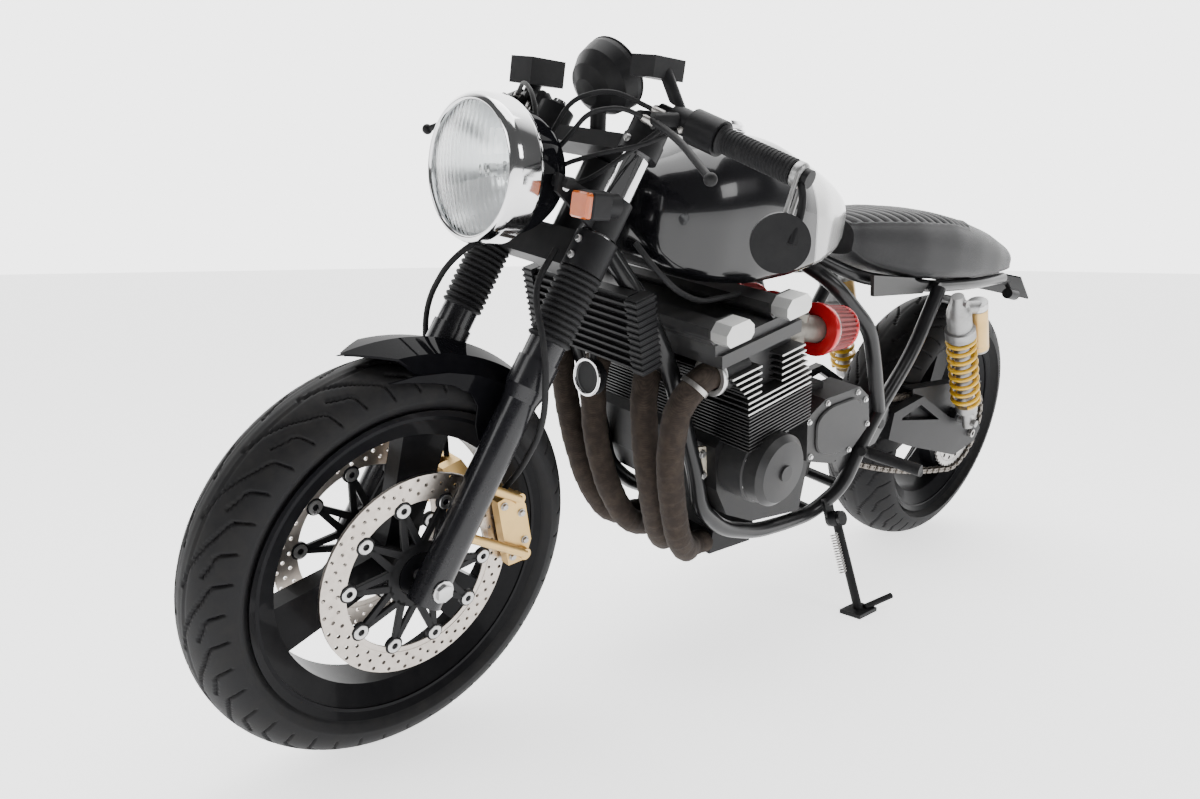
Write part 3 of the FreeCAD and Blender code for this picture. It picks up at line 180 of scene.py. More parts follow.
def rounded(points, reach, steps=5, closed=False):
    """Corners as quadratic curves that begin and end a reach away, at most 0.45 of the shorter run."""
    points = np.asarray(points, float)
    back = np.roll(points, 1, 0) - points
    ahead = np.roll(points, -1, 0) - points
    long_back = np.linalg.norm(back, axis=1, keepdims=True)
    long_ahead = np.linalg.norm(ahead, axis=1, keepdims=True)
    cut = np.minimum(reach, 0.45 * np.minimum(long_back, long_ahead))
    enter = (points + back / long_back * cut)[:, None]
    leave = (points + ahead / long_ahead * cut)[:, None]
    t = np.linspace(0, 1, steps)[None, :, None]
    curve = (1 - t) ** 2 * enter + 2 * t * (1 - t) * points[:, None] + t ** 2 * leave
    if closed:
        return curve.reshape(-1, points.shape[1])
    return np.concatenate([points[:1], curve[1:-1].reshape(-1, points.shape[1]), points[-1:]])


def running_length(path):
    """The length along a path at each of its points."""
    return np.concatenate([[0], np.cumsum(np.linalg.norm(np.diff(path, axis=0), axis=1))])


def at_marks(path, length, marks):
    """The points of a path at marks along its running length."""
    return np.stack([np.interp(marks, length, path[:, axis]) for axis in range(path.shape[1])], -1)


def evenly(path, step):
    """The same line with points a step apart."""
    length = running_length(path)
    return at_marks(path, length, np.linspace(0, length[-1], max(3, int(length[-1] / step) + 1)))


def on_circle(radius, angle, y=0.0):
    """Points about the y axis at a radius and an angle, each a number or an array."""
    across, up = radius * np.cos(angle), radius * np.sin(angle)
    return np.stack([across, np.broadcast_to(y, across.shape), up], -1)


def swept(path, radius, sides=14, reference=Y_AXIS):
    """A round bar along a path: each ring is the path point plus radius times cosine and sine of two cross
    axes. The radius is a number, one per row or one per point of the grid."""
    tangent = unit(np.gradient(path, axis=0))
    across = unit(np.cross(tangent, reference))
    over = np.cross(tangent, across)
    angle = np.linspace(0, TAU, sides, endpoint=False)[None, :, None]
    radius = np.asarray(radius, float)
    radius = radius.reshape(radius.shape + (1,) * (3 - radius.ndim))
    grid = path[:, None] + radius * (np.cos(angle) * across[:, None] + np.sin(angle) * over[:, None])
    return surface(grid, around=True, ends=True)


def turned(profile, centre, axis, sides=48, ring=False):
    """A round piece: each profile row of radius and station is turned about the axis through the centre."""
    profile = np.asarray(profile, float)
    turn = facing(axis)[0]
    angle = np.linspace(0, TAU, sides, endpoint=False)
    circle = circle_in(turn, angle)
    grid = centre + profile[:, 1, None, None] * turn[:, 2] + profile[:, 0, None, None] * circle
    return surface(grid, around=True, along=ring, ends=not ring)


def slab(outline, low, high, origin=(0, 0, 0), turn=None, edge=1.0):
    """A flat plate with softened edges: the outline drawn in at each face by the edge and full between
    them."""
    outline = np.asarray(outline, float)
    normal = unit(np.roll(outline, -1, 0) - np.roll(outline, 1, 0))[:, ::-1] * [1, -1]
    area = np.sum(outline[:, 0] * np.roll(outline[:, 1], -1) - outline[:, 1] * np.roll(outline[:, 0], -1))
    inner = outline - normal * edge * np.sign(area)
    layers = [(inner, low), (outline, low + edge), (outline, high - edge), (inner, high)]
    grid = np.stack([np.column_stack([ring, np.full(len(ring), level)]) for ring, level in layers])
    turn = np.eye(3) if turn is None else turn
    return surface(grid @ turn.T + np.asarray(origin, float), around=True, ends=True)


def ring_plate(centre, y, inner, outer, half, angles, edge=0.8):
    """A flat ring square to y: inner and outer radii per angle, with softened edges, closed all round."""
    inner = np.broadcast_to(inner, angles.shape)
    outer = np.broadcast_to(outer, angles.shape)
    front = [(outer, half - edge), (outer - edge, half), (inner + edge, half), (inner, half - edge)]
    rows = front + [(radius, -level) for radius, level in front[::-1]]
    grid = np.stack([on_circle(radius, angles, level) for radius, level in rows])
    return surface(grid + centre + Y_AXIS * y, around=True, along=True)


def welded(points, faces):
    """Points at the same hundredth of a millimetre become one."""
    places = np.round(points, 2) + 0.0
    _, first, where = np.unique(places, axis=0, return_index=True, return_inverse=True)
    return points[first], [where.reshape(-1)[group] for group in faces]


def drilled_ring(centre, y, radii, cells, hole, half):
    """A ring with staggered rows of round holes. Each cell is a band of eight quads from its border to its
    hole in front, another through the hole and a third behind; the first and last rows are closed at the
    ring's edges. Rows are half a cell apart, so that borders share their corners."""
    step = TAU / cells
    turn = np.array([0, 0.5, 1, 1, 1, 0.5, 0, 0]) - 0.5
    rise = np.array([0, 0, 0, 0.5, 1, 1, 1, 0.5])
    eighth = np.array([-0.75, -0.5, -0.25, 0, 0.25, 0.5, 0.75, 1.0]) * math.pi
    shapes = []
    for row, (low, high) in enumerate(zip(radii[:-1], radii[1:])):
        middle = (np.arange(cells) + 0.5 * (row % 2))[:, None] * step
        border_angle = middle + turn * step
        border_radius = np.broadcast_to(low + (high - low) * rise, border_angle.shape)
        hole_angle = middle + hole * np.cos(eighth) / ((low + high) / 2)
        hole_radius = np.broadcast_to((low + high) / 2 + hole * np.sin(eighth), border_angle.shape)
        border, edge = (border_radius, border_angle), (hole_radius, hole_angle)
        rings = [(*border, half), (*edge, half), (*edge, -half), (*border, -half)]
        grid = np.stack([on_circle(*ring) for ring in rings], 1)
        index = np.arange(cells * len(rings) * len(turn)).reshape(-1, len(rings), len(turn))
        index = np.concatenate([index, index[:, :, :1]], 2)
        index = np.concatenate([index, index[:, :1]], 1)
        quads = np.stack([index[:, :-1, :-1], index[:, 1:, :-1], index[:, 1:, 1:], index[:, :-1, 1:]], -1)
        faces = [quads[:, :3].reshape(-1, 4)]
        if row == 0:
            faces.append(quads[:, 3, 0:2].reshape(-1, 4))
        if row == len(radii) - 2:
            faces.append(quads[:, 3, 4:6].reshape(-1, 4))
        shapes.append((grid.reshape(-1, 3), faces))
    points, faces = outward(welded(*together(*shapes)))
    return points + centre + Y_AXIS * y, faces


def bolts(places, directions, radius, height):
    """Bolt heads with a washer: a low round collar and a six-sided head with softened edges."""
    low = height * 0.2
    collar = [(radius * 1.25, 0), (radius * 1.25, height * 0.25), (radius * 1.1, height * 0.3)]
    head = [(radius, low), (radius, height * 0.85), (radius * 0.82, height)]
    bolt = together(turned(collar, ORIGIN, Z_AXIS, sides=12), turned(head, ORIGIN, Z_AXIS, sides=6))
    places = np.atleast_2d(np.asarray(places, float))
    return copies(bolt, facing(directions), places)


def on_leg(side, along, ahead=0.0):
    """Point on a fork leg, a distance along it from the axle and ahead of its centre line."""
    return FRONT_AXLE + FORK_UP * along + FORK_AHEAD * ahead + Y_AXIS * (side * FORK_HALF)


# Finishes


def group_tree(name, inputs, outputs):
    tree = bpy.data.node_groups.new(name, "ShaderNodeTree")
    for label, kind in inputs:
        tree.interface.new_socket(label, in_out="INPUT", socket_type=kind)
    for label, kind in outputs:
        tree.interface.new_socket(label, in_out="OUTPUT", socket_type=kind)
    return tree, tree.nodes.new("NodeGroupInput"), tree.nodes.new("NodeGroupOutput")


def node(tree, kind, values=None, links=None, **settings):
    """One shader node with its settings, its socket values and what feeds it."""
    made = tree.nodes.new(kind)
    for key, value in settings.items():
        setattr(made, key, value)
    for key, value in (values or {}).items():
        made.inputs[key].default_value = value
    for key, source in (links or {}).items():
        tree.links.new(source, made.inputs[key])
    return made


def mixed(tree, factor, first, second, blend="MIX"):
    """A colour mix; first and second are sockets or colours."""
    made = tree.nodes.new("ShaderNodeMix")
    made.data_type = "RGBA"
    made.blend_type = blend
    for slot_index, value in ((0, factor), (6, first), (7, second)):
        if isinstance(value, (tuple, float, int)):
            made.inputs[slot_index].default_value = value
        else:
            tree.links.new(value, made.inputs[slot_index])
    return made.outputs[2]


def maths(tree, operation, first, second=0.0):
    made = tree.nodes.new("ShaderNodeMath")
    made.operation = operation
    for slot_index, value in ((0, first), (1, second)):
        if isinstance(value, (float, int)):
            made.inputs[slot_index].default_value = value
        else:
            tree.links.new(value, made.inputs[slot_index])
    return made.outputs[0]


def ranged(tree, value, low, high, to_low=0.0, to_high=1.0):
    """The value's place between low and high as a number between the other two."""
    made = node(tree, "ShaderNodeMapRange", {1: low, 2: high, 3: to_low, 4: to_high}, {0: value})
    return made.outputs[0]


def share_along(tree, vector, direction):
    """A vector's length along a direction."""
    made = node(tree, "ShaderNodeVectorMath", {1: tuple(direction)}, {0: vector}, operation="DOT_PRODUCT")
    return made.outputs["Value"]


def noise(tree, place, scale, detail):
    made = node(tree, "ShaderNodeTexNoise", {"Scale": scale, "Detail": detail}, {"Vector": place})
    return made.outputs["Fac"]


def opened(material):
    """A material's node tree, its shader and the place on the piece."""
    tree = material.node_tree
    return tree, tree.nodes["Principled BSDF"], node(tree, "ShaderNodeTexCoord").outputs["Object"]


def recoloured(tree, shader, share, colour):
    """Lays a colour over what feeds the shader's base colour."""
    base = shader.inputs["Base Color"].links[0].from_socket
    tree.links.new(mixed(tree, share, base, colour), shader.inputs["Base Color"])


def relief(tree, shader, height, strength, distance):
    """Raises the shader's skin by a height."""
    bump = node(tree, "ShaderNodeBump", {"Strength": strength, "Distance": distance}, {"Height": height})
    tree.links.new(bump.outputs[0], shader.inputs["Normal"])


COLOUR = "NodeSocketColor"
NUMBER = "NodeSocketFloat"
VECTOR = "NodeSocketVector"


def handled_surface():
    """Cast, painted or moulded skin: patches of a second colour, uneven gloss and a fine grain in relief."""
    numbers = ("Patch Scale", "Patch Amount", "Roughness", "Roughness Spread", "Grain Scale",
               "Grain Height")
    taken = [("Place", VECTOR), ("Colour", COLOUR), ("Patch Colour", COLOUR)]
    given = [("Colour", COLOUR), ("Roughness", NUMBER), ("Normal", VECTOR)]
    tree, inside, out = group_tree("handled_surface", taken + [(label, NUMBER) for label in numbers], given)
    socket = inside.outputs
    patch = node(tree, "ShaderNodeTexNoise", {"Detail": 5.0, "Roughness": 0.6},
                 {"Vector": socket["Place"], "Scale": socket["Patch Scale"]})
    share = ranged(tree, patch.outputs["Fac"], 0.42, 0.68)
    share = maths(tree, "MULTIPLY", share, socket["Patch Amount"])
    colour = mixed(tree, share, socket["Colour"], socket["Patch Colour"])
    uneven = maths(tree, "SUBTRACT", patch.outputs["Fac"], 0.5)
    uneven = maths(tree, "MULTIPLY", uneven, socket["Roughness Spread"])
    rough = maths(tree, "ADD", socket["Roughness"], uneven)
    grain = node(tree, "ShaderNodeTexNoise", {"Detail": 3.0}, {"Vector": socket["Place"],
                                                               "Scale": socket["Grain Scale"]})
    bump = node(tree, "ShaderNodeBump", {"Strength": 1.0}, {"Distance": socket["Grain Height"],
                                                            "Height": grain.outputs["Fac"]})
    tree.links.new(colour, out.inputs["Colour"])
    tree.links.new(rough, out.inputs["Roughness"])
    tree.links.new(bump.outputs[0], out.inputs["Normal"])
    return tree


def settled_dust():
    """A mask of dust on faces that look up, broken by noise, laid over a colour."""
    taken = [("Place", VECTOR), ("Colour", COLOUR), ("Dust Colour", COLOUR), ("Amount", NUMBER)]
    tree, inside, out = group_tree("settled_dust", taken, [("Colour", COLOUR)])
    socket = inside.outputs
    geometry = node(tree, "ShaderNodeNewGeometry")
    height = node(tree, "ShaderNodeSeparateXYZ", links={0: geometry.outputs["Normal"]}).outputs[2]
    broken = ranged(tree, noise(tree, socket["Place"], 60.0, 6.0), 0.35, 0.75)
    mask = maths(tree, "MULTIPLY", ranged(tree, height, -0.2, 1.0), broken)
    mask = maths(tree, "MULTIPLY", mask, socket["Amount"])
    tree.links.new(mixed(tree, mask, socket["Colour"], socket["Dust Colour"]), out.inputs["Colour"])
    return tree


HANDLED = handled_surface()
DUST = settled_dust()
DUST_COLOUR = (0.33, 0.3, 0.26, 1.0)
COAT_ROUGHNESS = 0.04


def solid(colour):
    return (colour[0], colour[1], colour[2], 1.0)


def finish(name, colour, patch=None, rough=0.4, spread=0.15, patches=(25.0, 0.5), grain=(900.0, 0.00004),
           metal=0.0, coat=0.0, dust=0.0, specular=0.5):
    """A material of handled skin and settled dust; what is the same all over sits on the shader's own
    sockets."""
    material = bpy.data.materials.new(name)
    material.use_nodes = True
    tree, shader, place = opened(material)
    skin = node(tree, "ShaderNodeGroup", node_tree=HANDLED)
    tree.links.new(place, skin.inputs["Place"])
    for label, value in (("Colour", solid(colour)), ("Patch Colour", solid(patch or colour)),
                         ("Patch Scale", patches[0]), ("Patch Amount", patches[1]), ("Roughness", rough),
                         ("Roughness Spread", spread), ("Grain Scale", grain[0]),
                         ("Grain Height", grain[1])):
        skin.inputs[label].default_value = value
    outcome = skin.outputs["Colour"]
    if dust:
        cover = node(tree, "ShaderNodeGroup", node_tree=DUST)
        tree.links.new(place, cover.inputs["Place"])
        tree.links.new(outcome, cover.inputs["Colour"])
        cover.inputs["Dust Colour"].default_value = DUST_COLOUR
        cover.inputs["Amount"].default_value = dust
        outcome = cover.outputs["Colour"]
    tree.links.new(outcome, shader.inputs["Base Color"])
    tree.links.new(skin.outputs["Roughness"], shader.inputs["Roughness"])
    tree.links.new(skin.outputs["Normal"], shader.inputs["Normal"])
    shader.inputs["Metallic"].default_value = metal
    shader.inputs["Coat Weight"].default_value = coat
    shader.inputs["Coat Roughness"].default_value = COAT_ROUGHNESS
    shader.inputs["Specular IOR Level"].default_value = specular
    return material


PAINT_EDGE = np.array([815.0, 0, 839.0])
PAINT_NORMAL = np.array([119.0, 0, -31.0])
PAINT_BLUR = 0.0004
STRIPE_AHEAD = 0.0022
STRIPE_HALF = 0.0007


def two_tone_paint():
    """Tank paint: black ahead of a leaning plane across the tank, silver behind it, a pale line between."""
    material = finish("tank_two_tone", (0.004, 0.004, 0.005), patch=(0.008, 0.008, 0.009), rough=0.2,
                      spread=0.04, patches=(12.0, 0.3), grain=(2200.0, 0.000006), coat=0.5, specular=0.3)
    tree, shader, place = opened(material)
    top = placed(PAINT_EDGE, BIKE)
    across = pointing(unit(PAINT_NORMAL), BIKE)
    ahead = maths(tree, "SUBTRACT", share_along(tree, place, across), float(top @ across))
    behind = ranged(tree, ahead, PAINT_BLUR, -PAINT_BLUR)
    from_stripe = maths(tree, "ABSOLUTE", maths(tree, "ADD", ahead, -STRIPE_AHEAD))
    near = ranged(tree, from_stripe, STRIPE_HALF + 0.0005, STRIPE_HALF)
    sparkle = noise(tree, place, 1500.0, 2.0)
    silver = mixed(tree, sparkle, (0.38, 0.38, 0.375, 1.0), (0.56, 0.56, 0.55, 1.0))
    recoloured(tree, shader, behind, silver)
    recoloured(tree, shader, near, (0.5, 0.5, 0.5, 1.0))
    tree.links.new(maths(tree, "MULTIPLY", behind, 0.55), shader.inputs["Metallic"])
    return material


def leather():
    """Black seat leather: small cells with creases between them, fine pores and a worn sheen in patches."""
    material = finish("seat_leather", (0.016, 0.016, 0.017), patch=(0.027, 0.027, 0.028), rough=0.42,
                      spread=0.16, patches=(14.0, 0.6), dust=0.01, specular=0.15)
    tree, shader, place = opened(material)
    cells = node(tree, "ShaderNodeTexVoronoi", {"Scale": 420.0}, {"Vector": place},
                 feature="DISTANCE_TO_EDGE")
    crease = ranged(tree, cells.outputs["Distance"], 0.0, 0.16)
    pores = maths(tree, "MULTIPLY", noise(tree, place, 1800.0, 4.0), 0.4)
    relief(tree, shader, maths(tree, "ADD", crease, pores), 0.55, 0.00035)
    return material


def wrap_cloth():
    """Heat wrap: a brown woven band with cross weave. By the piece's own wrap attribute, the strip at the
    foot of each turn's step is darker: painted shade under the edge of the turn before."""
    material = finish("pipe_wrap", (0.026, 0.018, 0.014), patch=(0.052, 0.038, 0.028), rough=0.85,
                      spread=0.1, patches=(60.0, 0.7), grain=(2600.0, 0.0003), dust=0.08, specular=0.25)
    tree, shader, place = opened(material)
    # Painted shade: darker brown in the low strip just past each step of the wrap
    band = node(tree, "ShaderNodeAttribute", attribute_name="wrap").outputs["Fac"]
    recoloured(tree, shader, ranged(tree, band, 0.0, 0.14, 0.75, 0.0), (0.018, 0.012, 0.009, 1.0))
    weave = node(tree, "ShaderNodeTexWave", {"Scale": 160.0, "Distortion": 3.0, "Detail": 2.0},
                 {"Vector": place}, bands_direction="DIAGONAL")
    base = shader.inputs["Base Color"]
    woven = mixed(tree, 0.28, base.links[0].from_socket, weave.outputs["Color"], "MULTIPLY")
    tree.links.new(woven, base)
    return material


def filter_gauze():
    """Red pleated gauze: a fine wire net over the cloth, and by the pleat attribute painted shade that
    darkens the pleats' valleys, leaving the crests lighter."""
    material = finish("filter_gauze", (0.26, 0.006, 0.007), patch=(0.17, 0.005, 0.006), rough=0.55,
                      spread=0.1, patches=(60.0, 0.5), dust=0.03)
    tree, shader, place = opened(material)
    net = node(tree, "ShaderNodeTexVoronoi", {"Scale": 900.0}, {"Vector": place},
               feature="DISTANCE_TO_EDGE")
    relief(tree, shader, net.outputs["Distance"], 0.7, 0.0004)
    # Painted shade: darker red down in the pleats' valleys, full red on the crests
    crest = node(tree, "ShaderNodeAttribute", attribute_name="pleat").outputs["Fac"]
    recoloured(tree, shader, ranged(tree, crest, 0.0, 1.0, 0.75, 0.0), (0.05, 0.004, 0.004, 1.0))
    return material


def fluted_glass():
    """Clear lens glass with upright flutes in relief."""
    material = bpy.data.materials.new("lamp_glass")
    material.use_nodes = True
    tree, shader, place = opened(material)
    shader.inputs["Base Color"].default_value = (0.96, 0.98, 0.98, 1.0)
    shader.inputs["Transmission Weight"].default_value = 1.0
    shader.inputs["Roughness"].default_value = 0.03
    shader.inputs["IOR"].default_value = 1.45
    flutes = node(tree, "ShaderNodeTexWave", {"Scale": 34.0}, {"Vector": place}, bands_direction="Y")
    spots = node(tree, "ShaderNodeTexVoronoi", {"Scale": 60.0}, {"Vector": place})
    spots = maths(tree, "MULTIPLY", spots.outputs["Distance"], 0.3)
    relief(tree, shader, maths(tree, "ADD", flutes.outputs["Fac"], spots), 0.3, 0.0009)
    return material


def amber_plastic():
    """Amber signal plastic, a little see-through, with small prisms in relief."""
    material = finish("amber_plastic", (0.55, 0.1, 0.008), patch=(0.65, 0.16, 0.015), rough=0.12,
                      spread=0.05, patches=(40.0, 0.5), coat=0.6)
    tree, shader, place = opened(material)
    shader.inputs["Transmission Weight"].default_value = 0.2
    prisms = node(tree, "ShaderNodeTexChecker", {"Scale": 330.0}, {"Vector": place})
    relief(tree, shader, prisms.outputs["Fac"], 0.4, 0.0004)
    return material


def polished_edges(name, dark, patch, reach, height):
    """Dark casting whose ends are polished bright: where the distance from the bike's middle plane is over
    the reach and the height above the cylinders' foot is over the height."""
    material = finish(name, dark, patch=patch, rough=0.45, spread=0.15, patches=(40.0, 0.6),
                      grain=(800.0, 0.0001), metal=0.3, dust=0.04)
    tree, shader, place = opened(material)
    side = pointing(Y_AXIS, BIKE)
    up = pointing([math.sin(BLOCK_LEAN), 0, math.cos(BLOCK_LEAN)], BIKE)
    foot = placed(BLOCK_FOOT, BIKE)
    aside = maths(tree, "SUBTRACT", share_along(tree, place, side), float(foot @ side))
    above = maths(tree, "SUBTRACT", share_along(tree, place, up), float(foot @ up))
    outer = ranged(tree, maths(tree, "ABSOLUTE", aside), reach - 0.0004, reach + 0.0004)
    mask = maths(tree, "MULTIPLY", outer, ranged(tree, above, height - 0.001, height + 0.001))
    recoloured(tree, shader, mask, (0.62, 0.62, 0.61, 1.0))
    tree.links.new(maths(tree, "MULTIPLY", mask, 0.9), shader.inputs["Metallic"])
    return material


FINISH = {
    "tyre": finish("tyre_rubber", (0.006, 0.006, 0.007), patch=(0.014, 0.013, 0.012), rough=0.62,
                   spread=0.15, patches=(40.0, 0.5), grain=(1400.0, 0.0001), dust=0.03, specular=0.2),
    "wheel": finish("wheel_enamel", (0.005, 0.005, 0.006), patch=(0.010, 0.010, 0.011), rough=0.34,
                    spread=0.08, coat=0.06, dust=0.01, specular=0.06),
    "frame": finish("frame_enamel", (0.006, 0.006, 0.007), patch=(0.013, 0.013, 0.013), rough=0.3,
                    spread=0.1, coat=0.15, dust=0.01, specular=0.3),
    "satin": finish("satin_black", (0.008, 0.008, 0.009), patch=(0.018, 0.018, 0.018), rough=0.44,
                    spread=0.14, dust=0.01, specular=0.15),
    "gloss": finish("gloss_black", (0.004, 0.004, 0.005), patch=(0.008, 0.008, 0.009), rough=0.2,
                    spread=0.04, coat=0.14, specular=0.0),
    "rubber": finish("moulded_rubber", (0.008, 0.008, 0.009), patch=(0.018, 0.018, 0.018), rough=0.62,
                     spread=0.12, patches=(50.0, 0.6), grain=(1600.0, 0.00008), dust=0.02, specular=0.2),
    "case": finish("engine_satin", (0.010, 0.010, 0.011), patch=(0.022, 0.021, 0.020), rough=0.46,
                   spread=0.15, patches=(30.0, 0.7), grain=(700.0, 0.00012), metal=0.2, dust=0.03,
                   specular=0.3),
    "fin": polished_edges("fin_metal", dark=(0.012, 0.012, 0.013), patch=(0.024, 0.022, 0.021),
                          reach=0.2106, height=0.082),
    "cam": polished_edges("cam_casting", dark=(0.014, 0.014, 0.015), patch=(0.028, 0.027, 0.026),
                          reach=0.1985, height=0.0),
    "bright": finish("bright_casting", (0.56, 0.56, 0.56), patch=(0.4, 0.39, 0.38), rough=0.3, spread=0.15,
                     patches=(35.0, 0.5), grain=(900.0, 0.00004), metal=0.95),
    "alloy": finish("worn_alloy", (0.34, 0.34, 0.34), patch=(0.2, 0.19, 0.18), rough=0.4, spread=0.15,
                    patches=(35.0, 0.6), grain=(900.0, 0.00006), metal=0.85, dust=0.1),
    "chrome": finish("chrome", (0.74, 0.74, 0.75), patch=(0.6, 0.6, 0.6), rough=0.09, spread=0.08,
                     patches=(20.0, 0.4), grain=(1200.0, 0.000008), metal=1.0),
    "disc": finish("disc_steel", (0.56, 0.51, 0.46), patch=(0.42, 0.37, 0.33), rough=0.3, spread=0.12,
                   patches=(60.0, 0.6), grain=(1500.0, 0.00003), metal=1.0),
    "steel": finish("plain_steel", (0.42, 0.41, 0.4), patch=(0.24, 0.22, 0.2), rough=0.36, spread=0.16,
                    patches=(55.0, 0.6), metal=0.95),
    "chain": finish("oiled_chain", (0.16, 0.14, 0.12), patch=(0.07, 0.06, 0.05), rough=0.42, spread=0.2,
                    patches=(120.0, 0.7), metal=0.8, dust=0.1),
    "gold": finish("gold_sleeve", (0.66, 0.44, 0.17), patch=(0.54, 0.35, 0.13), rough=0.34, spread=0.12,
                   metal=0.7),
    "yellow": finish("spring_enamel", (0.72, 0.43, 0.02), patch=(0.5, 0.28, 0.015), rough=0.32, spread=0.1,
                     patches=(60.0, 0.4), coat=0.3, dust=0.12),
    "cream": finish("cream_casting", (0.62, 0.57, 0.47), patch=(0.45, 0.4, 0.32), rough=0.5, spread=0.12,
                    patches=(45.0, 0.5), metal=0.2, dust=0.1),
    "cover": finish("grey_cover", (0.024, 0.024, 0.025), patch=(0.038, 0.037, 0.036), rough=0.42,
                    spread=0.12, patches=(25.0, 0.6), metal=0.2, dust=0.02, specular=0.3),
    "panel": finish("grey_panel", (0.022, 0.022, 0.022), patch=(0.034, 0.034, 0.033), rough=0.38,
                    spread=0.08, metal=0.2),
    "slider": finish("slider_black", (0.008, 0.008, 0.01), patch=(0.016, 0.016, 0.018), rough=0.27,
                     spread=0.1, coat=0.15, dust=0.01, specular=0.3),
    "carb": finish("carburettor_metal", (0.16, 0.15, 0.13), patch=(0.08, 0.075, 0.065), rough=0.4,
                   spread=0.16, patches=(55.0, 0.5), metal=0.7, dust=0.06),
    "brass": finish("brass", (0.55, 0.38, 0.14), patch=(0.38, 0.25, 0.09), rough=0.32, spread=0.14,
                    metal=0.95),
    "reflector": finish("lamp_silvering", (0.92, 0.93, 0.94), patch=(0.88, 0.89, 0.9), rough=0.3,
                        spread=0.05, metal=0.85),
    "pale": finish("pale_dial", (0.6, 0.6, 0.58)),
    "red": finish("red_anodised", (0.52, 0.008, 0.014), patch=(0.4, 0.006, 0.01), rough=0.22, spread=0.1,
                  patches=(40.0, 0.4), metal=0.3, coat=0.3),
    "glass_mirror": finish("mirror_glass", (0.82, 0.84, 0.85), patch=(0.8, 0.82, 0.83), rough=0.03,
                           spread=0.0, metal=1.0),
    "tank": two_tone_paint(),
    "leather": leather(),
    "wrap": wrap_cloth(),
    "gauze": filter_gauze(),
    "glass": fluted_glass(),
    "amber": amber_plastic(),
}


def dress(material, *names):
    """A kept node gets its finish in all its material slots."""
    for name in names:
        for held in frame["nodes"][name].material_slots:
            held.material = FINISH[material]


def piece(name, shape, where, body, material, slot, replaces=(), sharp=38, marks=None):
    """A finished piece: the shape placed in the frame, shaded smooth but for its sharp edges, riding on its
    body."""
    points, faces = shape
    mesh = bpy.data.meshes.new(name)
    mesh.vertices.add(len(points))
    mesh.vertices.foreach_set("co", placed(points, where).astype(np.float32).ravel())
    sizes = np.concatenate([np.full(len(group), group.shape[1]) for group in faces])
    mesh.loops.add(int(sizes.sum()))
    mesh.polygons.add(len(sizes))
    mesh.polygons.foreach_set("loop_start", (np.cumsum(sizes) - sizes).astype(np.int32))
    corners = np.concatenate([group.ravel() for group in faces])
    mesh.polygons.foreach_set("vertices", corners.astype(np.int32))
    mesh.update(calc_edges=True)
    mesh.polygons.foreach_set("use_smooth", np.ones(len(sizes), bool))
    mesh.set_sharp_from_angle(angle=math.radians(sharp))
    for label, values in (marks or {}).items():
        held = mesh.attributes.new(label, "FLOAT", "POINT").data
        held.foreach_set("value", np.asarray(values, np.float32).ravel())
    mesh.materials.append(FINISH[material])
    made = bpy.data.objects.new(name, mesh)
    bpy.context.scene.collection.objects.link(made)
    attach(made, body)
    if replaces:
        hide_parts(*replaces)
    return made


def on_bike(name, shape, material, slot, replaces=(), **more):
    """A piece of the chassis, drawn upright."""
    return piece(name, shape, BIKE, "chassis", material, slot, replaces, **more)


def on_fork(name, shape, material, slot, replaces=(), **more):
    """A piece that turns with the fork."""
    return piece(name, shape, FORK, "steering", material, slot, replaces, **more)


# Wheels and drive


BEAD_RADII = np.array([219.0, 234.0, 238.0])
BEAD_STEPS = np.array([-1.0, 0.0, 3.0])
TREAD_SHARE = 0.62
TREAD_DEPTH = 3.6
GROOVE_HALF = 1.5
GROOVE_EDGE = 0.8
LONG_HOOK = [(-1.1, 0.12), (-0.75, 0.22), (-0.42, 0.4), (-0.2, 0.55), (-0.06, 0.62), (0.05, 0.69),
             (0.14, 0.98)]
SHORT_HOOK = [(0.16, 0.5), (0.34, 0.59), (0.46, 0.62), (0.54, 0.69), (0.63, 0.94)]
MIDDLE_LINES = (0.09, 0.2)
FRONT_DISC_Y = 69
REAR_DISC_Y = -92
DISC_EDGE = 0.8


def step_edge(distance, half, soft):
    """One inside a band of that half width, zero outside, with a smooth edge."""
    t = np.clip((half + soft - distance) / (2 * soft), 0, 1)
    return t * t * (3 - 2 * t)


def line_distance(t, s, start, end):
    """Distance of the points t, s from a straight line between start and end."""
    run = np.subtract(end, start)
    share = np.clip(((t - start[0]) * run[0] + (s - start[1]) * run[1]) / (run @ run), 0, 1)
    return np.hypot(t - start[0] - share * run[0], s - start[1] - share * run[1])


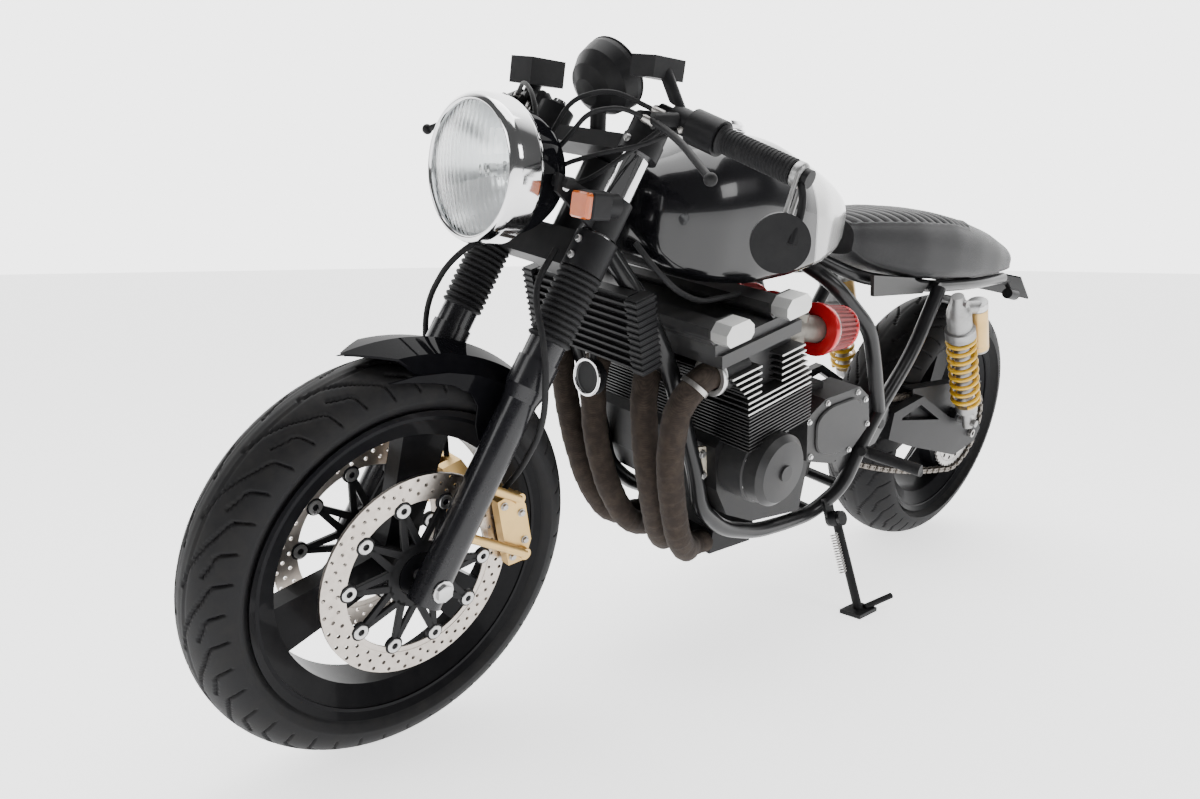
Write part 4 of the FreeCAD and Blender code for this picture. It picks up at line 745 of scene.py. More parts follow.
def treaded_tyre(centre, radius, width, crown, bead_half, repeats, columns=1320):
    """A tyre ring whose crown follows half an ellipse, less the tread's depth where a hooked groove runs.
    The grooves are bands about lines drawn on the unrolled tread, repeated round and shifted by half a
    step on one side. A hook's points are shares of one repeat and of the tread's half width."""
    turn = np.linspace(0, math.pi, 65)
    section_radius = radius - crown + crown * np.sin(turn)
    section_y = width / 2 * np.cos(turn)
    runs = np.hypot(np.diff(section_radius), np.diff(section_y))
    arc = np.concatenate([[0], np.cumsum(runs)])
    arc = arc[len(arc) // 2] - arc
    angle = np.linspace(0, TAU, columns, endpoint=False)
    period = TAU * radius / repeats
    s, round_way = np.meshgrid(arc, angle * radius)
    side = np.sign(s)
    s = np.abs(s)
    t = (round_way + np.where(side > 0, 0, period / 2)) % period - period / 2
    edge = width * TREAD_SHARE
    groove = np.zeros(s.shape)
    for hook in (LONG_HOOK, SHORT_HOOK):
        for start, end in zip(hook, hook[1:]):
            for shift in (-1, 0, 1):
                first = ((start[0] + shift) * period, start[1] * edge)
                last = ((end[0] + shift) * period, end[1] * edge)
                distance = line_distance(t, s, first, last)
                groove = np.maximum(groove, step_edge(distance, GROOVE_HALF, GROOVE_EDGE))
    for line in MIDDLE_LINES:
        groove = np.maximum(groove, step_edge(np.abs(s - line * edge), 0.5, GROOVE_EDGE) * 0.5)
    groove *= step_edge(s, edge * 1.02, 2.0)
    depth = TREAD_DEPTH * groove
    normal_r = np.sin(turn) / crown
    normal_y = np.cos(turn) / (width / 2)
    size = np.hypot(normal_r, normal_y)
    reach = section_radius - depth * (normal_r / size)
    aside = section_y - depth * (normal_y / size)
    ridge = step_edge(np.abs(section_radius - (radius - crown + 1)), 1.0, 2.0)
    aside = aside + np.sign(section_y) * ridge * 0.8 * (section_radius < radius - 8)
    bead_y = bead_half + BEAD_STEPS
    rows = len(angle)
    reach = np.concatenate([np.tile(BEAD_RADII, (rows, 1)), reach, np.tile(BEAD_RADII[::-1], (rows, 1))], 1)
    aside = np.concatenate([np.tile(bead_y, (rows, 1)), aside, np.tile(-bead_y[::-1], (rows, 1))], 1)
    return surface(on_circle(reach, angle[:, None], aside) + centre, around=True, along=True)


def about_axle(shape, count):
    """The shape and its copies at equal turns about the y axis."""
    angle = np.arange(count) * TAU / count
    sides = np.broadcast_to(Y_AXIS, (count, 3))
    turns = np.stack([on_circle(1.0, -angle), sides, on_circle(1.0, TAU / 4 - angle)], 1)
    return copies(shape, turns, np.zeros((count, 3)))


def brake_disc(centre, y, hub, inner, outer, arms, cells, half=2.4):
    """Drilled ring with a plain inner band, the carrier whose arms meet in pairs at round bosses, and the
    bobbins."""
    angles = np.linspace(0, TAU, 180, endpoint=False)
    hole = 3.0
    band_width = 7.0
    drilled = drilled_ring(centre, y, np.linspace(inner + band_width, outer, 4), cells, hole, half)
    band = ring_plate(centre, y, inner - 1, inner + band_width + 0.3, half * 0.75, angles, edge=0.5)
    thick = half * 1.3
    root = hub + 13
    boss_at = inner - 4
    spread = 0.42 * TAU / arms
    start = root * np.array([math.cos(spread), math.sin(spread)])
    end = np.array([boss_at, 0.0])
    aside = unit(end - start)[::-1] * [1, -1]
    root_half, tip_half = aside * 5.5, aside * 4.5
    outline = np.array([start + root_half, end + tip_half, end - tip_half, start - root_half])
    arm = slab(outline, -thick, thick, turn=LAY, edge=DISC_EDGE)
    other = slab(outline * [1, -1], -thick, thick, turn=LAY, edge=DISC_EDGE)
    boss_half = thick - DISC_EDGE
    boss = [(12.4, -thick), (13.2, -boss_half), (13.2, boss_half), (12.4, thick)]
    boss = turned(boss, (boss_at, 0, 0), Y_AXIS, sides=24)
    middle = [centre + Y_AXIS * y]
    spider = at_each(about_axle(together(arm, other, boss), arms), middle)
    carrier = together(ring_plate(centre, y, hub + 0.6, hub + 17, thick, angles), spider)
    bobbin = [(9.8, -4.8), (10.6, -4.0), (10.6, 4.0), (9.8, 4.8), (4.9, 4.8), (4.5, 4.0), (4.5, -4.0),
              (4.9, -4.8)]
    bobbin = turned(bobbin, (boss_at, 0, 0), Y_AXIS, sides=20, ring=True)
    return together(drilled, band), carrier, at_each(about_axle(bobbin, arms), middle)


def wheels():
    """Tyres and discs, each in the place of its solid."""
    front = treaded_tyre(FRONT_AXLE, radius=298, width=120, crown=50, bead_half=48, repeats=21)
    piece("front_tread", front, FORK, "front_wheel", "tyre", "tyre", ["front_tyre"], sharp=60)
    rear = treaded_tyre(REAR_AXLE, radius=311, width=175, crown=66, bead_half=67, repeats=20, columns=1240)
    piece("rear_tread", rear, BIKE, "rear_wheel", "tyre", "tyre", ["rear_tyre"], sharp=60)
    pair = [brake_disc(FRONT_AXLE, y, hub=32, inner=112, outer=149, arms=10,
                       cells=34) for y in (FRONT_DISC_Y, -FRONT_DISC_Y)]
    ring, star, bobbins = (together(*parts) for parts in zip(*pair))
    piece("front_disc_rings", ring, FORK, "front_wheel", "disc", "disc_steel", ["front_discs"])
    piece("front_disc_stars", star, FORK, "front_wheel", "satin", "wheel_black")
    piece("front_disc_bobbins", bobbins, FORK, "front_wheel", "bright", "disc_steel")
    ring, star, bobbins = brake_disc(REAR_AXLE, REAR_DISC_Y, hub=48, inner=98, outer=134, arms=8, cells=32)
    piece("rear_disc_ring", ring, BIKE, "rear_wheel", "disc", "disc_steel", ["rear_disc"])
    piece("rear_disc_star", star, BIKE, "rear_wheel", "satin", "wheel_black")
    piece("rear_disc_bobbins", bobbins, BIKE, "rear_wheel", "bright", "disc_steel")


CHAIN_Y = 108.0
PITCH = 15.9
REAR_TEETH = 42
FRONT_TEETH = 16
REAR_PITCH_RADIUS = PITCH * REAR_TEETH / TAU
FRONT_PITCH_RADIUS = PITCH * FRONT_TEETH / TAU
CHAIN_SAG = 22
FRONT_SPROCKET = np.array([640.0, 0.0, 400.0])


def chain_line():
    """The pitch line: an arc round each sprocket, a straight upper run and a sagging lower one, evenly
    marked."""
    span = FRONT_SPROCKET - REAR_AXLE
    slope = math.atan2(span[2], span[0])
    tilt = math.acos((REAR_PITCH_RADIUS - FRONT_PITCH_RADIUS) / np.linalg.norm(span))
    rear = REAR_AXLE + on_circle(REAR_PITCH_RADIUS, np.linspace(slope + tilt, slope - tilt + TAU, 60))
    front = FRONT_SPROCKET + on_circle(FRONT_PITCH_RADIUS, np.linspace(slope - tilt, slope + tilt, 60))
    share = np.linspace(0, 1, 60)[1:-1, None]
    lower = rear[-1] * (1 - share) + front[0] * share - Z_AXIS * (4 * CHAIN_SAG * share * (1 - share))
    line = np.concatenate([rear, lower, front, rear[:1]])
    length = running_length(line)
    count = 2 * int(round(length[-1] / PITCH / 2))
    return at_marks(line, length, np.linspace(0, length[-1], count, endpoint=False))


def drive():
    """Chain links on the pitch line and the toothed sprocket inside them with its bolts."""
    pins = chain_line() + Y_AXIS * CHAIN_Y
    after = np.roll(pins, -1, 0)
    along = unit(after - pins)
    middles = (pins + after) / 2
    up = np.cross(along, Y_AXIS)
    turns = np.stack([along, np.broadcast_to(Y_AXIS, along.shape), up], -1)
    angle = np.linspace(0, TAU, 20, endpoint=False)
    c, s = np.cos(angle), np.sin(angle)
    plate_long = np.sign(c) * PITCH / 2 * np.abs(c) ** 0.6 + 5.2 * c
    plate_high = (6.9 - 1.7 * s ** 6) * s
    plate = slab(np.stack([plate_long, plate_high], -1), -0.9, 0.9, turn=LAY, edge=0.4)
    narrow, wide = (at_each(plate, [(0, aside, 0), (0, -aside, 0)]) for aside in (5.4, 7.6))
    roller = turned([(4.9, -4.4), (4.9, 4.4)], ORIGIN, Y_AXIS, sides=10)
    pin = turned([(2.2, -9.6), (2.6, -9.0), (2.6, 9.0), (2.2, 9.6)], ORIGIN, Y_AXIS, sides=8)
    links = together(copies(narrow, turns[::2], middles[::2]), copies(wide, turns[1::2], middles[1::2]),
                     at_each(together(roller, pin), pins))
    on_bike("chain_links", links, "chain", "chain_steel", ["drive_chain"])
    angles = np.linspace(0, TAU, REAR_TEETH * 8, endpoint=False)
    teeth = 95.5 + 4.6 * (0.5 + 0.5 * np.cos(angles * REAR_TEETH)) ** 1.5
    rim = ring_plate(REAR_AXLE, CHAIN_Y, 84, teeth, 2.6, angles)
    web = drilled_ring(REAR_AXLE, CHAIN_Y, np.array([50.0, 67.0, 84.0]), 15, 5.6, 2.6)
    wheel = together(rim, web)
    piece("driven_sprocket", wheel, BIKE, "rear_wheel", "steel", "chain_steel", ["rear_sprocket"])
    spots = REAR_AXLE + on_circle(56, np.arange(5) * TAU / 5, CHAIN_Y + 2.4)
    heads = bolts(spots, Y_AXIS, radius=6.0, height=5.0)
    piece("sprocket_bolts", heads, BIKE, "rear_wheel", "bright", "chain_steel")


# Exhaust, filters, tank, fork and shocks


WRAP_PITCH = 26.0
WRAP_RAMP = 1.1
WRAPPED_RADIUS = 21.9
PIPE_STEP = 2.6


def wrapped_pipe(route):
    """A pipe under spiral wrap: radius plus a ramp that climbs over each turn and drops at its edge.
    The turn is the running length over the pitch less the angle's share of a round."""
    path = evenly(rounded(route, reach=400, steps=12), step=PIPE_STEP)
    length = np.linspace(0, len(path) * PIPE_STEP, len(path))
    sides = 26
    angle = np.arange(sides) / sides
    band = (length[:, None] / WRAP_PITCH - angle[None]) % 1.0
    ramp = WRAP_RAMP * band + 0.25 * np.sin(length[:, None] * 0.11 + angle[None] * 9)
    return swept(path, radius=WRAPPED_RADIUS - 0.4 + ramp, sides=sides), band


PORTS = (172, 57, -57, -172)
PORT_Z = 570
PIPE_ROUTES = (
    [(1056, 172, 573), (1092, 170, 567), (1126, 160, 520), (1118, 152, 430), (1090, 148, 352),
     (1050, 140, 272),
     (992, 116, 224), (942, 79, 208), (897, 79, 206)],
    [(1056, 57, 573), (1092, 60, 567), (1120, 80, 515), (1112, 94, 425), (1084, 97, 343), (1040, 84, 262),
     (985, 54, 220), (940, 27, 208), (897, 27, 206)],
    [(1056, -57, 573), (1092, -56, 567), (1116, -44, 500), (1102, -34, 400), (1076, -16, 316),
     (1032, -6, 250),
     (985, -18, 220), (940, -27, 208), (897, -27, 206)],
    [(1056, -172, 573), (1092, -166, 561), (1110, -127, 490), (1096, -100, 390), (1068, -76, 300),
     (1022, -68, 240), (975, -74, 216), (935, -79, 208), (897, -79, 206)],
)


def exhaust():
    """Four wrapped header pipes from the ports down to the collector, with their flanges, nuts and clips."""
    routes = np.array(PIPE_ROUTES, float)
    pipes, bands = zip(*[wrapped_pipe(route) for route in routes])
    on_bike("wrapped_headers", together(*pipes), "wrap", "pipe_wrap", ["exhaust_headers"], sharp=30,
            marks={"wrap": np.concatenate([band.ravel() for band in bands])})
    out = unit(np.array([36.0, 0, -6.0]))
    mouths = np.array([(1070, y, PORT_Z) for y in PORTS], float)
    flange = [(23.5, -2), (32, -2), (33, 0), (33, 5), (31, 7), (24, 7)]
    flange = turned(flange, ORIGIN, Z_AXIS, sides=40, ring=True)
    on_bike("port_flanges", copies(flange, facing(out), mouths), "bright", "silencer_black")
    clip = turned([(22.5, -4), (24.6, -4), (24.6, 4), (22.5, 4)], ORIGIN, Z_AXIS, sides=36, ring=True)
    places = routes[:, 1] * 0.7 + routes[:, 2] * 0.3
    clips = copies(clip, facing(routes[:, 2] - routes[:, 1]), places)
    on_bike("wrap_clips", clips, "steel", "silencer_black")
    nuts = [(1074, y + side * 24, PORT_Z + side * 26) for y in PORTS for side in SIDES]
    on_bike("port_nuts", bolts(nuts, out, radius=5.5, height=9.0), "steel", "cam_silver")


FILTER_SPOTS = [(0, y, 0) for y in (150, 50, -50, -150)]
FILTER_PLEATS = 30
PLEAT_DEPTH = 3.6
FILTER_Z = 619.5
FLANGE_Z = 620.0


def filters():
    """Pleated gauze cones: the radius falls by a cosine of thirty turns; each has a red flange and end, a
    band and a fitting."""
    angle = np.linspace(0, TAU, 180, endpoint=False)
    crest = 0.5 + 0.5 * np.cos(angle * FILTER_PLEATS)
    x = np.array([765.0, 762, 740, 720, 700, 697])
    reach = np.interp(x, [690, 770], [39.5, 45.5])
    radius = reach[:, None] - PLEAT_DEPTH * (1 - crest) * np.array([0.2, 1, 1, 1, 1, 0.2])[:, None]
    y, z = radius * np.cos(angle), FILTER_Z + radius * np.sin(angle)
    cone = surface(np.stack([np.broadcast_to(x[:, None], y.shape), y, z], -1), around=True, ends=True)
    crests = np.tile(np.broadcast_to(crest, radius.shape).ravel(), len(FILTER_SPOTS))
    on_bike("filter_cones", at_each(cone, FILTER_SPOTS), "gauze", "filter_red", ["air_filters"], sharp=50,
            marks={"pleat": crests})
    base = rounded([(24, 0), (48, 0), (48, 11), (44, 13), (24, 13)], reach=3, steps=4, closed=True)
    end = rounded([(1, 68), (40, 68), (40.5, 75), (34, 79), (1, 79)], reach=3, steps=4)
    base = turned(base, (777.0, 0, FLANGE_Z), -X_AXIS, sides=56, ring=True)
    end = turned(end, (768.0, 0, FILTER_Z), -X_AXIS, sides=56)
    on_bike("filter_rubbers", at_each(together(base, end), FILTER_SPOTS), "red", "filter_red")
    fitting = [(4.0, -9), (6.0, -9), (6.0, -3), (4.2, -2), (4.2, 8), (3.2, 9)]
    fitting = turned(fitting, (836.0, 0, 560.0), -Z_AXIS, sides=12)
    on_bike("carb_fittings", at_each(fitting, FILTER_SPOTS), "brass", "carb_metal")
    band = [(42.5, -3), (44.4, -3), (44.4, 3), (42.5, 3)]
    band = turned(band, (762.0, 0, FLANGE_Z), X_AXIS, sides=48, ring=True)
    on_bike("filter_bands", at_each(band, FILTER_SPOTS), "steel", "shock_metal")


TANK_ROWS = np.array([
    (1146, 58, 756, 846, 18, 50), (1118, 92, 716, 876, 24, 90), (1050, 132, 700, 914, 26, 120),
    (960, 144, 697, 938, 26, 130), (860, 143, 708, 932, 26, 128), (760, 130, 724, 906, 26, 110),
    (680, 104, 742, 882, 24, 90), (620, 74, 770, 856, 16, 50)])
TANK_BACK = 618
TANK_FRONT = 1150
TANK_END = 26
CAP_SPOT = (930.0, 0, 938.0)
EASING = 41


def signed_power(values, power):
    return np.sign(values) * np.abs(values) ** power


def eased(values):
    """A running mean weighted by a raised cosine."""
    kernel = np.hanning(EASING)
    return np.convolve(np.pad(values, EASING // 2, "edge"), kernel / kernel.sum(), "valid")


def eased_columns(rows, x):
    """The columns after the first, read off along x by the first one and eased."""
    knots = rows[::-1]
    return [eased(np.interp(x, knots[:, 0], column)) for column in knots.T[1:]]


def tank():
    """The tank in one smooth shell. Half width, floor, top and corner heights are eased along the tank. A
    section is an arc of cosine and sine powers over the shoulders, a nearly flat floor and upright
    sides; both ends close in by a quarter circle."""
    x = np.linspace(TANK_BACK, TANK_FRONT, 267)
    half, low, high, corner_low, corner_high = eased_columns(TANK_ROWS, x)
    inset = np.clip(np.minimum(x - TANK_BACK, TANK_FRONT - x) / TANK_END, 0, 1)
    shut = np.sqrt(1 - (1 - inset) ** 2) * 0.985 + 0.015
    over = np.linspace(0, math.pi, 61)
    under = np.linspace(math.pi, TAU, 41)
    c = np.concatenate([signed_power(np.cos(over), 0.82), signed_power(np.cos(under), 0.34)])
    y = half[:, None] * c
    z_over = (high - corner_high)[:, None] + corner_high[:, None] * np.sin(over) ** 0.9
    z_under = (low + corner_low)[:, None] - corner_low[:, None] * np.abs(np.sin(under)) ** 0.7
    z = np.concatenate([z_over, z_under], 1)
    middle = ((high + low) / 2)[:, None]
    y, z = y * shut[:, None], middle + (z - middle) * shut[:, None]
    grid = np.stack([np.broadcast_to(x[:, None], y.shape), y, z], -1)
    shell = surface(grid, around=True, ends=True)
    on_bike("tank_shell", shell, "tank", "tank_paint", ["fuel_tank"], sharp=80)
    lid = rounded([(1, 6), (30, 6), (32, 3), (38, 2), (39, -3), (30, -8), (1, -8)], reach=2, steps=4)
    on_bike("cap_flange", turned(lid, CAP_SPOT, Z_AXIS, sides=56), "chrome", "cap")


def fork_dress():
    """Rubber bellows whose radius follows a rectified sine, clamp bolts ahead of the legs, top caps, axle
    nuts."""
    long, folds, foot = 107.0, 12, 366
    station = np.linspace(0, long, 150)
    fold = np.abs(np.sin(station / long * math.pi * folds)) ** 0.8
    profile = np.column_stack([27.0 + 4.8 * fold, station])
    profile = np.concatenate([[[21.0, 0.0], [26.0, 0.0]], profile[1:-1], [[26.0, long], [21.0, long]]])
    legs = [turned(profile, on_leg(side, foot), FORK_UP, sides=32) for side in SIDES]
    on_fork("fork_bellows", together(*legs), "rubber", "rubber", ["fork_gaiters"])
    spots = ((486, 31), (510, 31), (664, 30))
    places = [on_leg(side, along, ahead) for side in SIDES for along, ahead in spots]
    on_fork("clamp_bolts", bolts(places, FORK_AHEAD, radius=4.5, height=5.0), "bright", "chrome")
    caps = [on_leg(side, 711) for side in SIDES]
    cap = turned([(17, 0), (17, 3), (12, 4), (11, 9), (7, 9.5)], ORIGIN, Z_AXIS, sides=28)
    on_fork("fork_top_caps", copies(cap, facing(FORK_UP), caps), "chrome", "fork_chrome")
    ends = [Y_AXIS * side for side in SIDES]
    nuts = [bolts(FRONT_AXLE + 128 * end, end, radius=13.0, height=9.0) for end in ends]
    on_fork("front_axle_nuts", together(*nuts), "bright", "chrome")


SHOCK_TOP = np.array([276.0, 164.0, 652.0])
SHOCK_LOW = np.array([82.0, 164.0, 358.0])
RESERVOIR_TOP = np.array([196.0, 170.0, 650.0])
RESERVOIR_LOW = np.array([132.0, 170.0, 540.0])
COIL_TURNS = 8.4
COIL_RADIUS = 28.0
COIL_BAR = 4.9


def shocks():
    """Coil springs: a bar whose centre runs round the shock's axis, with flat turns at both ends. Inside
    each is the damper's tube, and behind it a reservoir in a sleeve."""
    axis = unit(SHOCK_LOW - SHOCK_TOP)
    turn = facing(axis)[0]
    share = np.linspace(0, 1, 420)
    climb = np.interp(share, [0, 0.08, 0.92, 1], [100, 107, 277, 284])
    angle = share * COIL_TURNS * TAU
    path = SHOCK_TOP + climb[:, None] * axis + COIL_RADIUS * circle_in(turn, angle)
    spring = swept(path, radius=COIL_BAR, sides=10, reference=axis)
    on_bike("coil_springs", both(spring), "yellow", "spring_yellow", ["shock_springs"])
    rod_cover = turned([(15.5, 92), (15.5, 291)], SHOCK_TOP, axis, sides=24)
    on_bike("damper_tubes", both(rod_cover), "alloy", "shock_metal")
    run = RESERVOIR_LOW - RESERVOIR_TOP
    length = np.linalg.norm(run)
    ending = [(21.6, -18), (21.2, -17), (21.6, -15), (21.6, -5), (20.4, -3.5)]
    sleeve = [(20.0, 16), (21.6, 17)] + [(radius, length + back) for radius, back in ending]
    on_bike("reservoir_sleeves", both(turned(sleeve, RESERVOIR_TOP, run, sides=36)), "gold", "shock_metal")
    cap = turned([(21.4, -1), (22.2, 0), (22.2, 14), (21.4, 15)], RESERVOIR_TOP, run, sides=36)
    on_bike("reservoir_caps", both(cap), "bright", "shock_metal")


# Seat


SEAT_ROWS = np.array([
    (598, 82, 738, 804, 0.62), (560, 94, 716, 811, 0.6), (500, 104, 702, 817, 0.6),
    (380, 122, 686, 824, 0.6),
    (240, 128, 682, 824, 0.62), (120, 124, 681, 812, 0.74), (0, 112, 683, 793, 0.9),
    (-120, 88, 690, 764, 1.0),
    (-185, 62, 698, 738, 1.0), (-209, 36, 706, 726, 1.0)])
SEAT_PLEAT = 30
SEAT_PLEAT_DEPTH = 6.5
PLEAT_SHARE = 0.8
PLEATS_BACK = 95
WELT_WIDTH = 2.6
WELT_HEIGHT = 2.6
SEAM_WIDTH = 2.2
SEAM_REACH = 2.2
SEAM_HEIGHT = 13


def seat_shape():
    """The saddle: at each station a rounded section whose side stands nearly upright and whose top is
    crowned. Pleats lower the top by a cosine of the station bent back at the edges, a raised welt runs
    round them, and a second welt runs low along the side."""
    x = np.concatenate([np.linspace(-209, -150, 18)[:-1], np.linspace(-150, 598, 400)])
    half, low, high, soft = (column[:, None] for column in eased_columns(SEAT_ROWS, x))
    x = x[:, None]
    angle = np.linspace(-math.pi / 2, 1.5 * math.pi, 144, endpoint=False)
    c = np.cos(angle)[None]
    s = np.sin(angle)[None]
    side_height = low + (high - low) * 0.42
    y = half * signed_power(c, 0.34 + 0.42 * soft)
    above = side_height + (high - side_height) * np.abs(s) ** (0.62 + 0.38 * soft)
    below = side_height - (side_height - low) * np.abs(s) ** 0.4
    z = np.where(s > 0, above, below)
    top = s > 0.0
    share = np.abs(y) / half
    line = np.minimum(PLEAT_SHARE, PLEAT_SHARE * np.clip((x - PLEATS_BACK) / 70, 0, 1) ** 0.5)
    inside = np.clip((line - share) / 0.05, 0, 1) * top
    bent = x + 8 * (share / PLEAT_SHARE) ** 2
    pleat = np.abs(np.cos(bent * math.pi / SEAT_PLEAT)) ** 0.6
    z = z - inside * (1.0 - pleat) * SEAT_PLEAT_DEPTH + inside
    welt = np.exp(-((share - line) * half / WELT_WIDTH) ** 2) * top * (x > PLEATS_BACK - 3) * (x < 596)
    z = z + WELT_HEIGHT * welt
    seam = np.exp(-((z - low - SEAM_HEIGHT) / SEAM_WIDTH) ** 2) * (s < 0.4) * (np.abs(c) > 0.2)
    y = y + np.sign(y) * SEAM_REACH * seam
    return surface(np.stack([np.broadcast_to(x, y.shape), y, z], -1), around=True, ends=True)


def seat():
    """The saddle in leather."""
    made = on_bike("saddle", seat_shape(), "leather", "seat_leather", ["seat"], sharp=70)


# Lamp and cockpit


LAMP = np.array([1425.0, 0.0, 844.0])
REFLECTOR_RADIUS = 89.0
REFLECTOR_DEPTH = 70.0
SIGNAL_SPOTS = [(1351, side * 140, 820) for side in SIDES]


def lamp():
    """Black bowl, deep chrome ring, reflector, bulb and a domed lens, all turned about the lamp's axis."""
    bowl = [(1, -124), (30, -122), (62, -108), (82, -78), (91, -40), (93, -30), (86, -30), (80, -40),
            (60, -90), (30, -112), (1, -116)]
    bowl = rounded(bowl, reach=14, steps=6)
    on_fork("lamp_bowl", turned(bowl, LAMP, X_AXIS, sides=72), "gloss", "controls_black", ["headlamp_bowl"])
    ring = [(93, -38), (97, -38), (99.6, -32), (99.6, 2), (96, 12), (90, 15), (87, 12), (87, 6), (90, 0),
            (90, -34)]
    ring = turned(rounded(ring, reach=4, steps=5, closed=True), LAMP, X_AXIS, sides=96, ring=True)
    on_fork("lamp_ring", ring, "chrome", "chrome", ["headlamp_rim"])
    depth = np.linspace(1, 0.06, 16)
    outer = np.column_stack([REFLECTOR_RADIUS * depth, -REFLECTOR_DEPTH * (1 - depth ** 2)])
    inner = outer[::-1] - [1.2, 1.5]
    silvering = turned(np.concatenate([outer, inner]), LAMP, X_AXIS, sides=72, ring=True)
    on_fork("lamp_reflector", silvering, "reflector", "chrome")
    bulb = rounded([(1, -66), (13, -66), (13, -50), (9, -46), (9, -18), (6, -12), (1, -10)], reach=3,
                   steps=5)
    on_fork("lamp_bulb", turned(bulb, LAMP, X_AXIS, sides=28), "bright", "chrome")
    share = np.linspace(0, 1, 20)
    dome = np.column_stack([1 + (REFLECTOR_RADIUS - 1) * share, 26 - 19 * share ** 2.2])
    back = dome[::-1] - [0.5, 3.4]
    glass = np.concatenate([dome, back])
    glass[:, 0] = np.maximum(glass[:, 0], 0.5)
    on_fork("lamp_lens", turned(glass, LAMP, X_AXIS, sides=72), "glass", "lens", ["headlamp_lens"])


def signals():
    """Square amber lenses on the front signals, each before its shell, and the bolts of the lamp brackets."""
    corner = rounded([(-17, -17), (17, -17), (17, 17), (-17, 17)], reach=5, steps=5, closed=True)
    turn = facing(X_AXIS)[0]
    lens = slab(corner, 0, 11, turn=turn, edge=2.5)
    on_fork("signal_lenses", at_each(lens, SIGNAL_SPOTS), "amber", "lens")
    bolt = bolts([(1360, 108, 840)], unit(X_AXIS + Y_AXIS), radius=6.5, height=5.0)
    on_fork("lamp_bolts", both(bolt), "bright", "chrome")
    shell = slab(corner * 1.07, -34, 1, turn=turn, edge=2.0)
    on_fork("signal_shells", at_each(shell, SIGNAL_SPOTS), "satin", "controls_black")


BAR_INNER = np.array([1217.0, 125.0, 948.0])
BAR_END = np.array([1187.0, 345.0, 893.0])
GRIP_START = 228.0
GRIP_END = 338.0
GAUGE = (1194.0, 0, 992.0)
GAUGE_TILT = math.radians(32)
MIRROR = (1216.2, 354.5, 811.0)


def bar_point(y):
    """The point of the bar's middle line at that distance from the bike's middle."""
    return BAR_INNER + (BAR_END - BAR_INNER) * (y - BAR_INNER[1]) / (BAR_END[1] - BAR_INNER[1])


def cockpit():
    """Ribbed grips and the bars' ends, the mirror's glass and stem, and the gauge's bezel, dial and hand."""
    station = np.linspace(0, np.linalg.norm(bar_point(GRIP_END) - bar_point(GRIP_START)), 160)
    ribs = 16.0 + 1.1 * (np.sin(station * TAU / 5.5) > 0) + 3.5 * np.exp(-((station - 2) / 3.0) ** 2)
    profile = np.concatenate([[[11.2, 0]], np.column_stack([ribs, station]), [[11.2, station[-1]]]])
    axis = unit(BAR_END - BAR_INNER)
    grip = turned(profile, bar_point(GRIP_START), axis, sides=28)
    on_fork("grip_rubbers", both(grip), "rubber", "rubber", ["grips"])
    cap = rounded([(1, -6), (16.5, -6), (17, 4), (13, 8), (1, 8)], reach=2, steps=4)
    on_fork("bar_end_caps", both(turned(cap, BAR_END, axis, sides=32)), "alloy", "chrome")
    glass = turned([(34, 0), (34, 1), (33, 1.6), (1, 1.8)], MIRROR, (-0.766, -0.643, 0), sides=48)
    on_fork("mirror_glass", glass, "glass_mirror", "chrome")
    lines = [np.array([(x, 352.0, 896.0), (x + 14, 352.0, 838.0)]) for x in (1186, 1200)]
    bars = [swept(evenly(line, step=6.0), radius=3.0, sides=10) for line in lines]
    on_fork("mirror_stem", together(*bars), "alloy", "chrome")
    facing_rider = np.array([-math.cos(GAUGE_TILT), 0, math.sin(GAUGE_TILT)])
    bezel = rounded([(47, 1), (54.6, 1), (55, 4), (53, 7), (48, 7), (47, 4)], reach=1.5, steps=4,
                    closed=True)
    bezel = turned(bezel, GAUGE, facing_rider, sides=56, ring=True)
    on_fork("gauge_bezel", bezel, "gloss", "controls_black")
    dial = turned([(1, 1.5), (47.5, 1.5), (47.5, 0.5), (1, 0.5)], GAUGE, facing_rider, sides=48)
    on_fork("gauge_dial", dial, "pale", "cover_grey")
    hand = [(2, -8), (-1, 30), (1, 30), (-2, -8)]
    hand = slab(hand, 2, 3, origin=GAUGE, turn=facing(facing_rider)[0], edge=0.2)
    on_fork("gauge_hand", hand, "amber", "cover_grey")


CONTROL_ROUTES = (
    [(1262, 146, 934), (1292, 128, 946), (1318, 92, 936), (1322, 62, 900), (1330, 40, 872)],
    [(1222, 176, 930), (1262, 140, 900), (1292, 96, 884), (1316, 60, 866), (1334, 46, 850)],
    [(1226, 150, 932), (1282, 112, 872), (1300, 84, 846), (1314, 62, 836), (1336, 44, 832)],
    [(1248, 150, 946), (1284, 92, 968), (1306, 40, 948), (1312, 16, 902), (1326, 10, 866)],
)
TANK_CABLE_ROUTE = [(1196, 92, 762), (1173, 120, 726), (1136, 132, 697), (1081, 135, 678), (1016, 130, 683),
                    (956, 118, 684), (915, 100, 665)]


def cable(route, radius, step):
    """A round cable in easy bends along its route."""
    path = evenly(rounded(np.array(route, float), reach=60, steps=8), step=step)
    return swept(path, radius=radius, sides=10, reference=Z_AXIS)


def cables():
    """Control cables from the levers and switch pods in easy bends to the back of the lamp bowl."""
    lines = [cable(route, radius=3.4, step=4.0) for route in CONTROL_ROUTES]
    on_fork("control_cables", both(together(*lines)), "rubber", "rubber")
    ferrule = [(4.6, -9), (5.4, -8), (5.4, 6), (4.2, 9)]
    ends = [turned(ferrule, route[0], np.subtract(route[1], route[0]),
                   sides=16) for route in CONTROL_ROUTES]
    on_fork("cable_ends", both(together(*ends)), "steel", "chrome")


# Small pieces and fixings


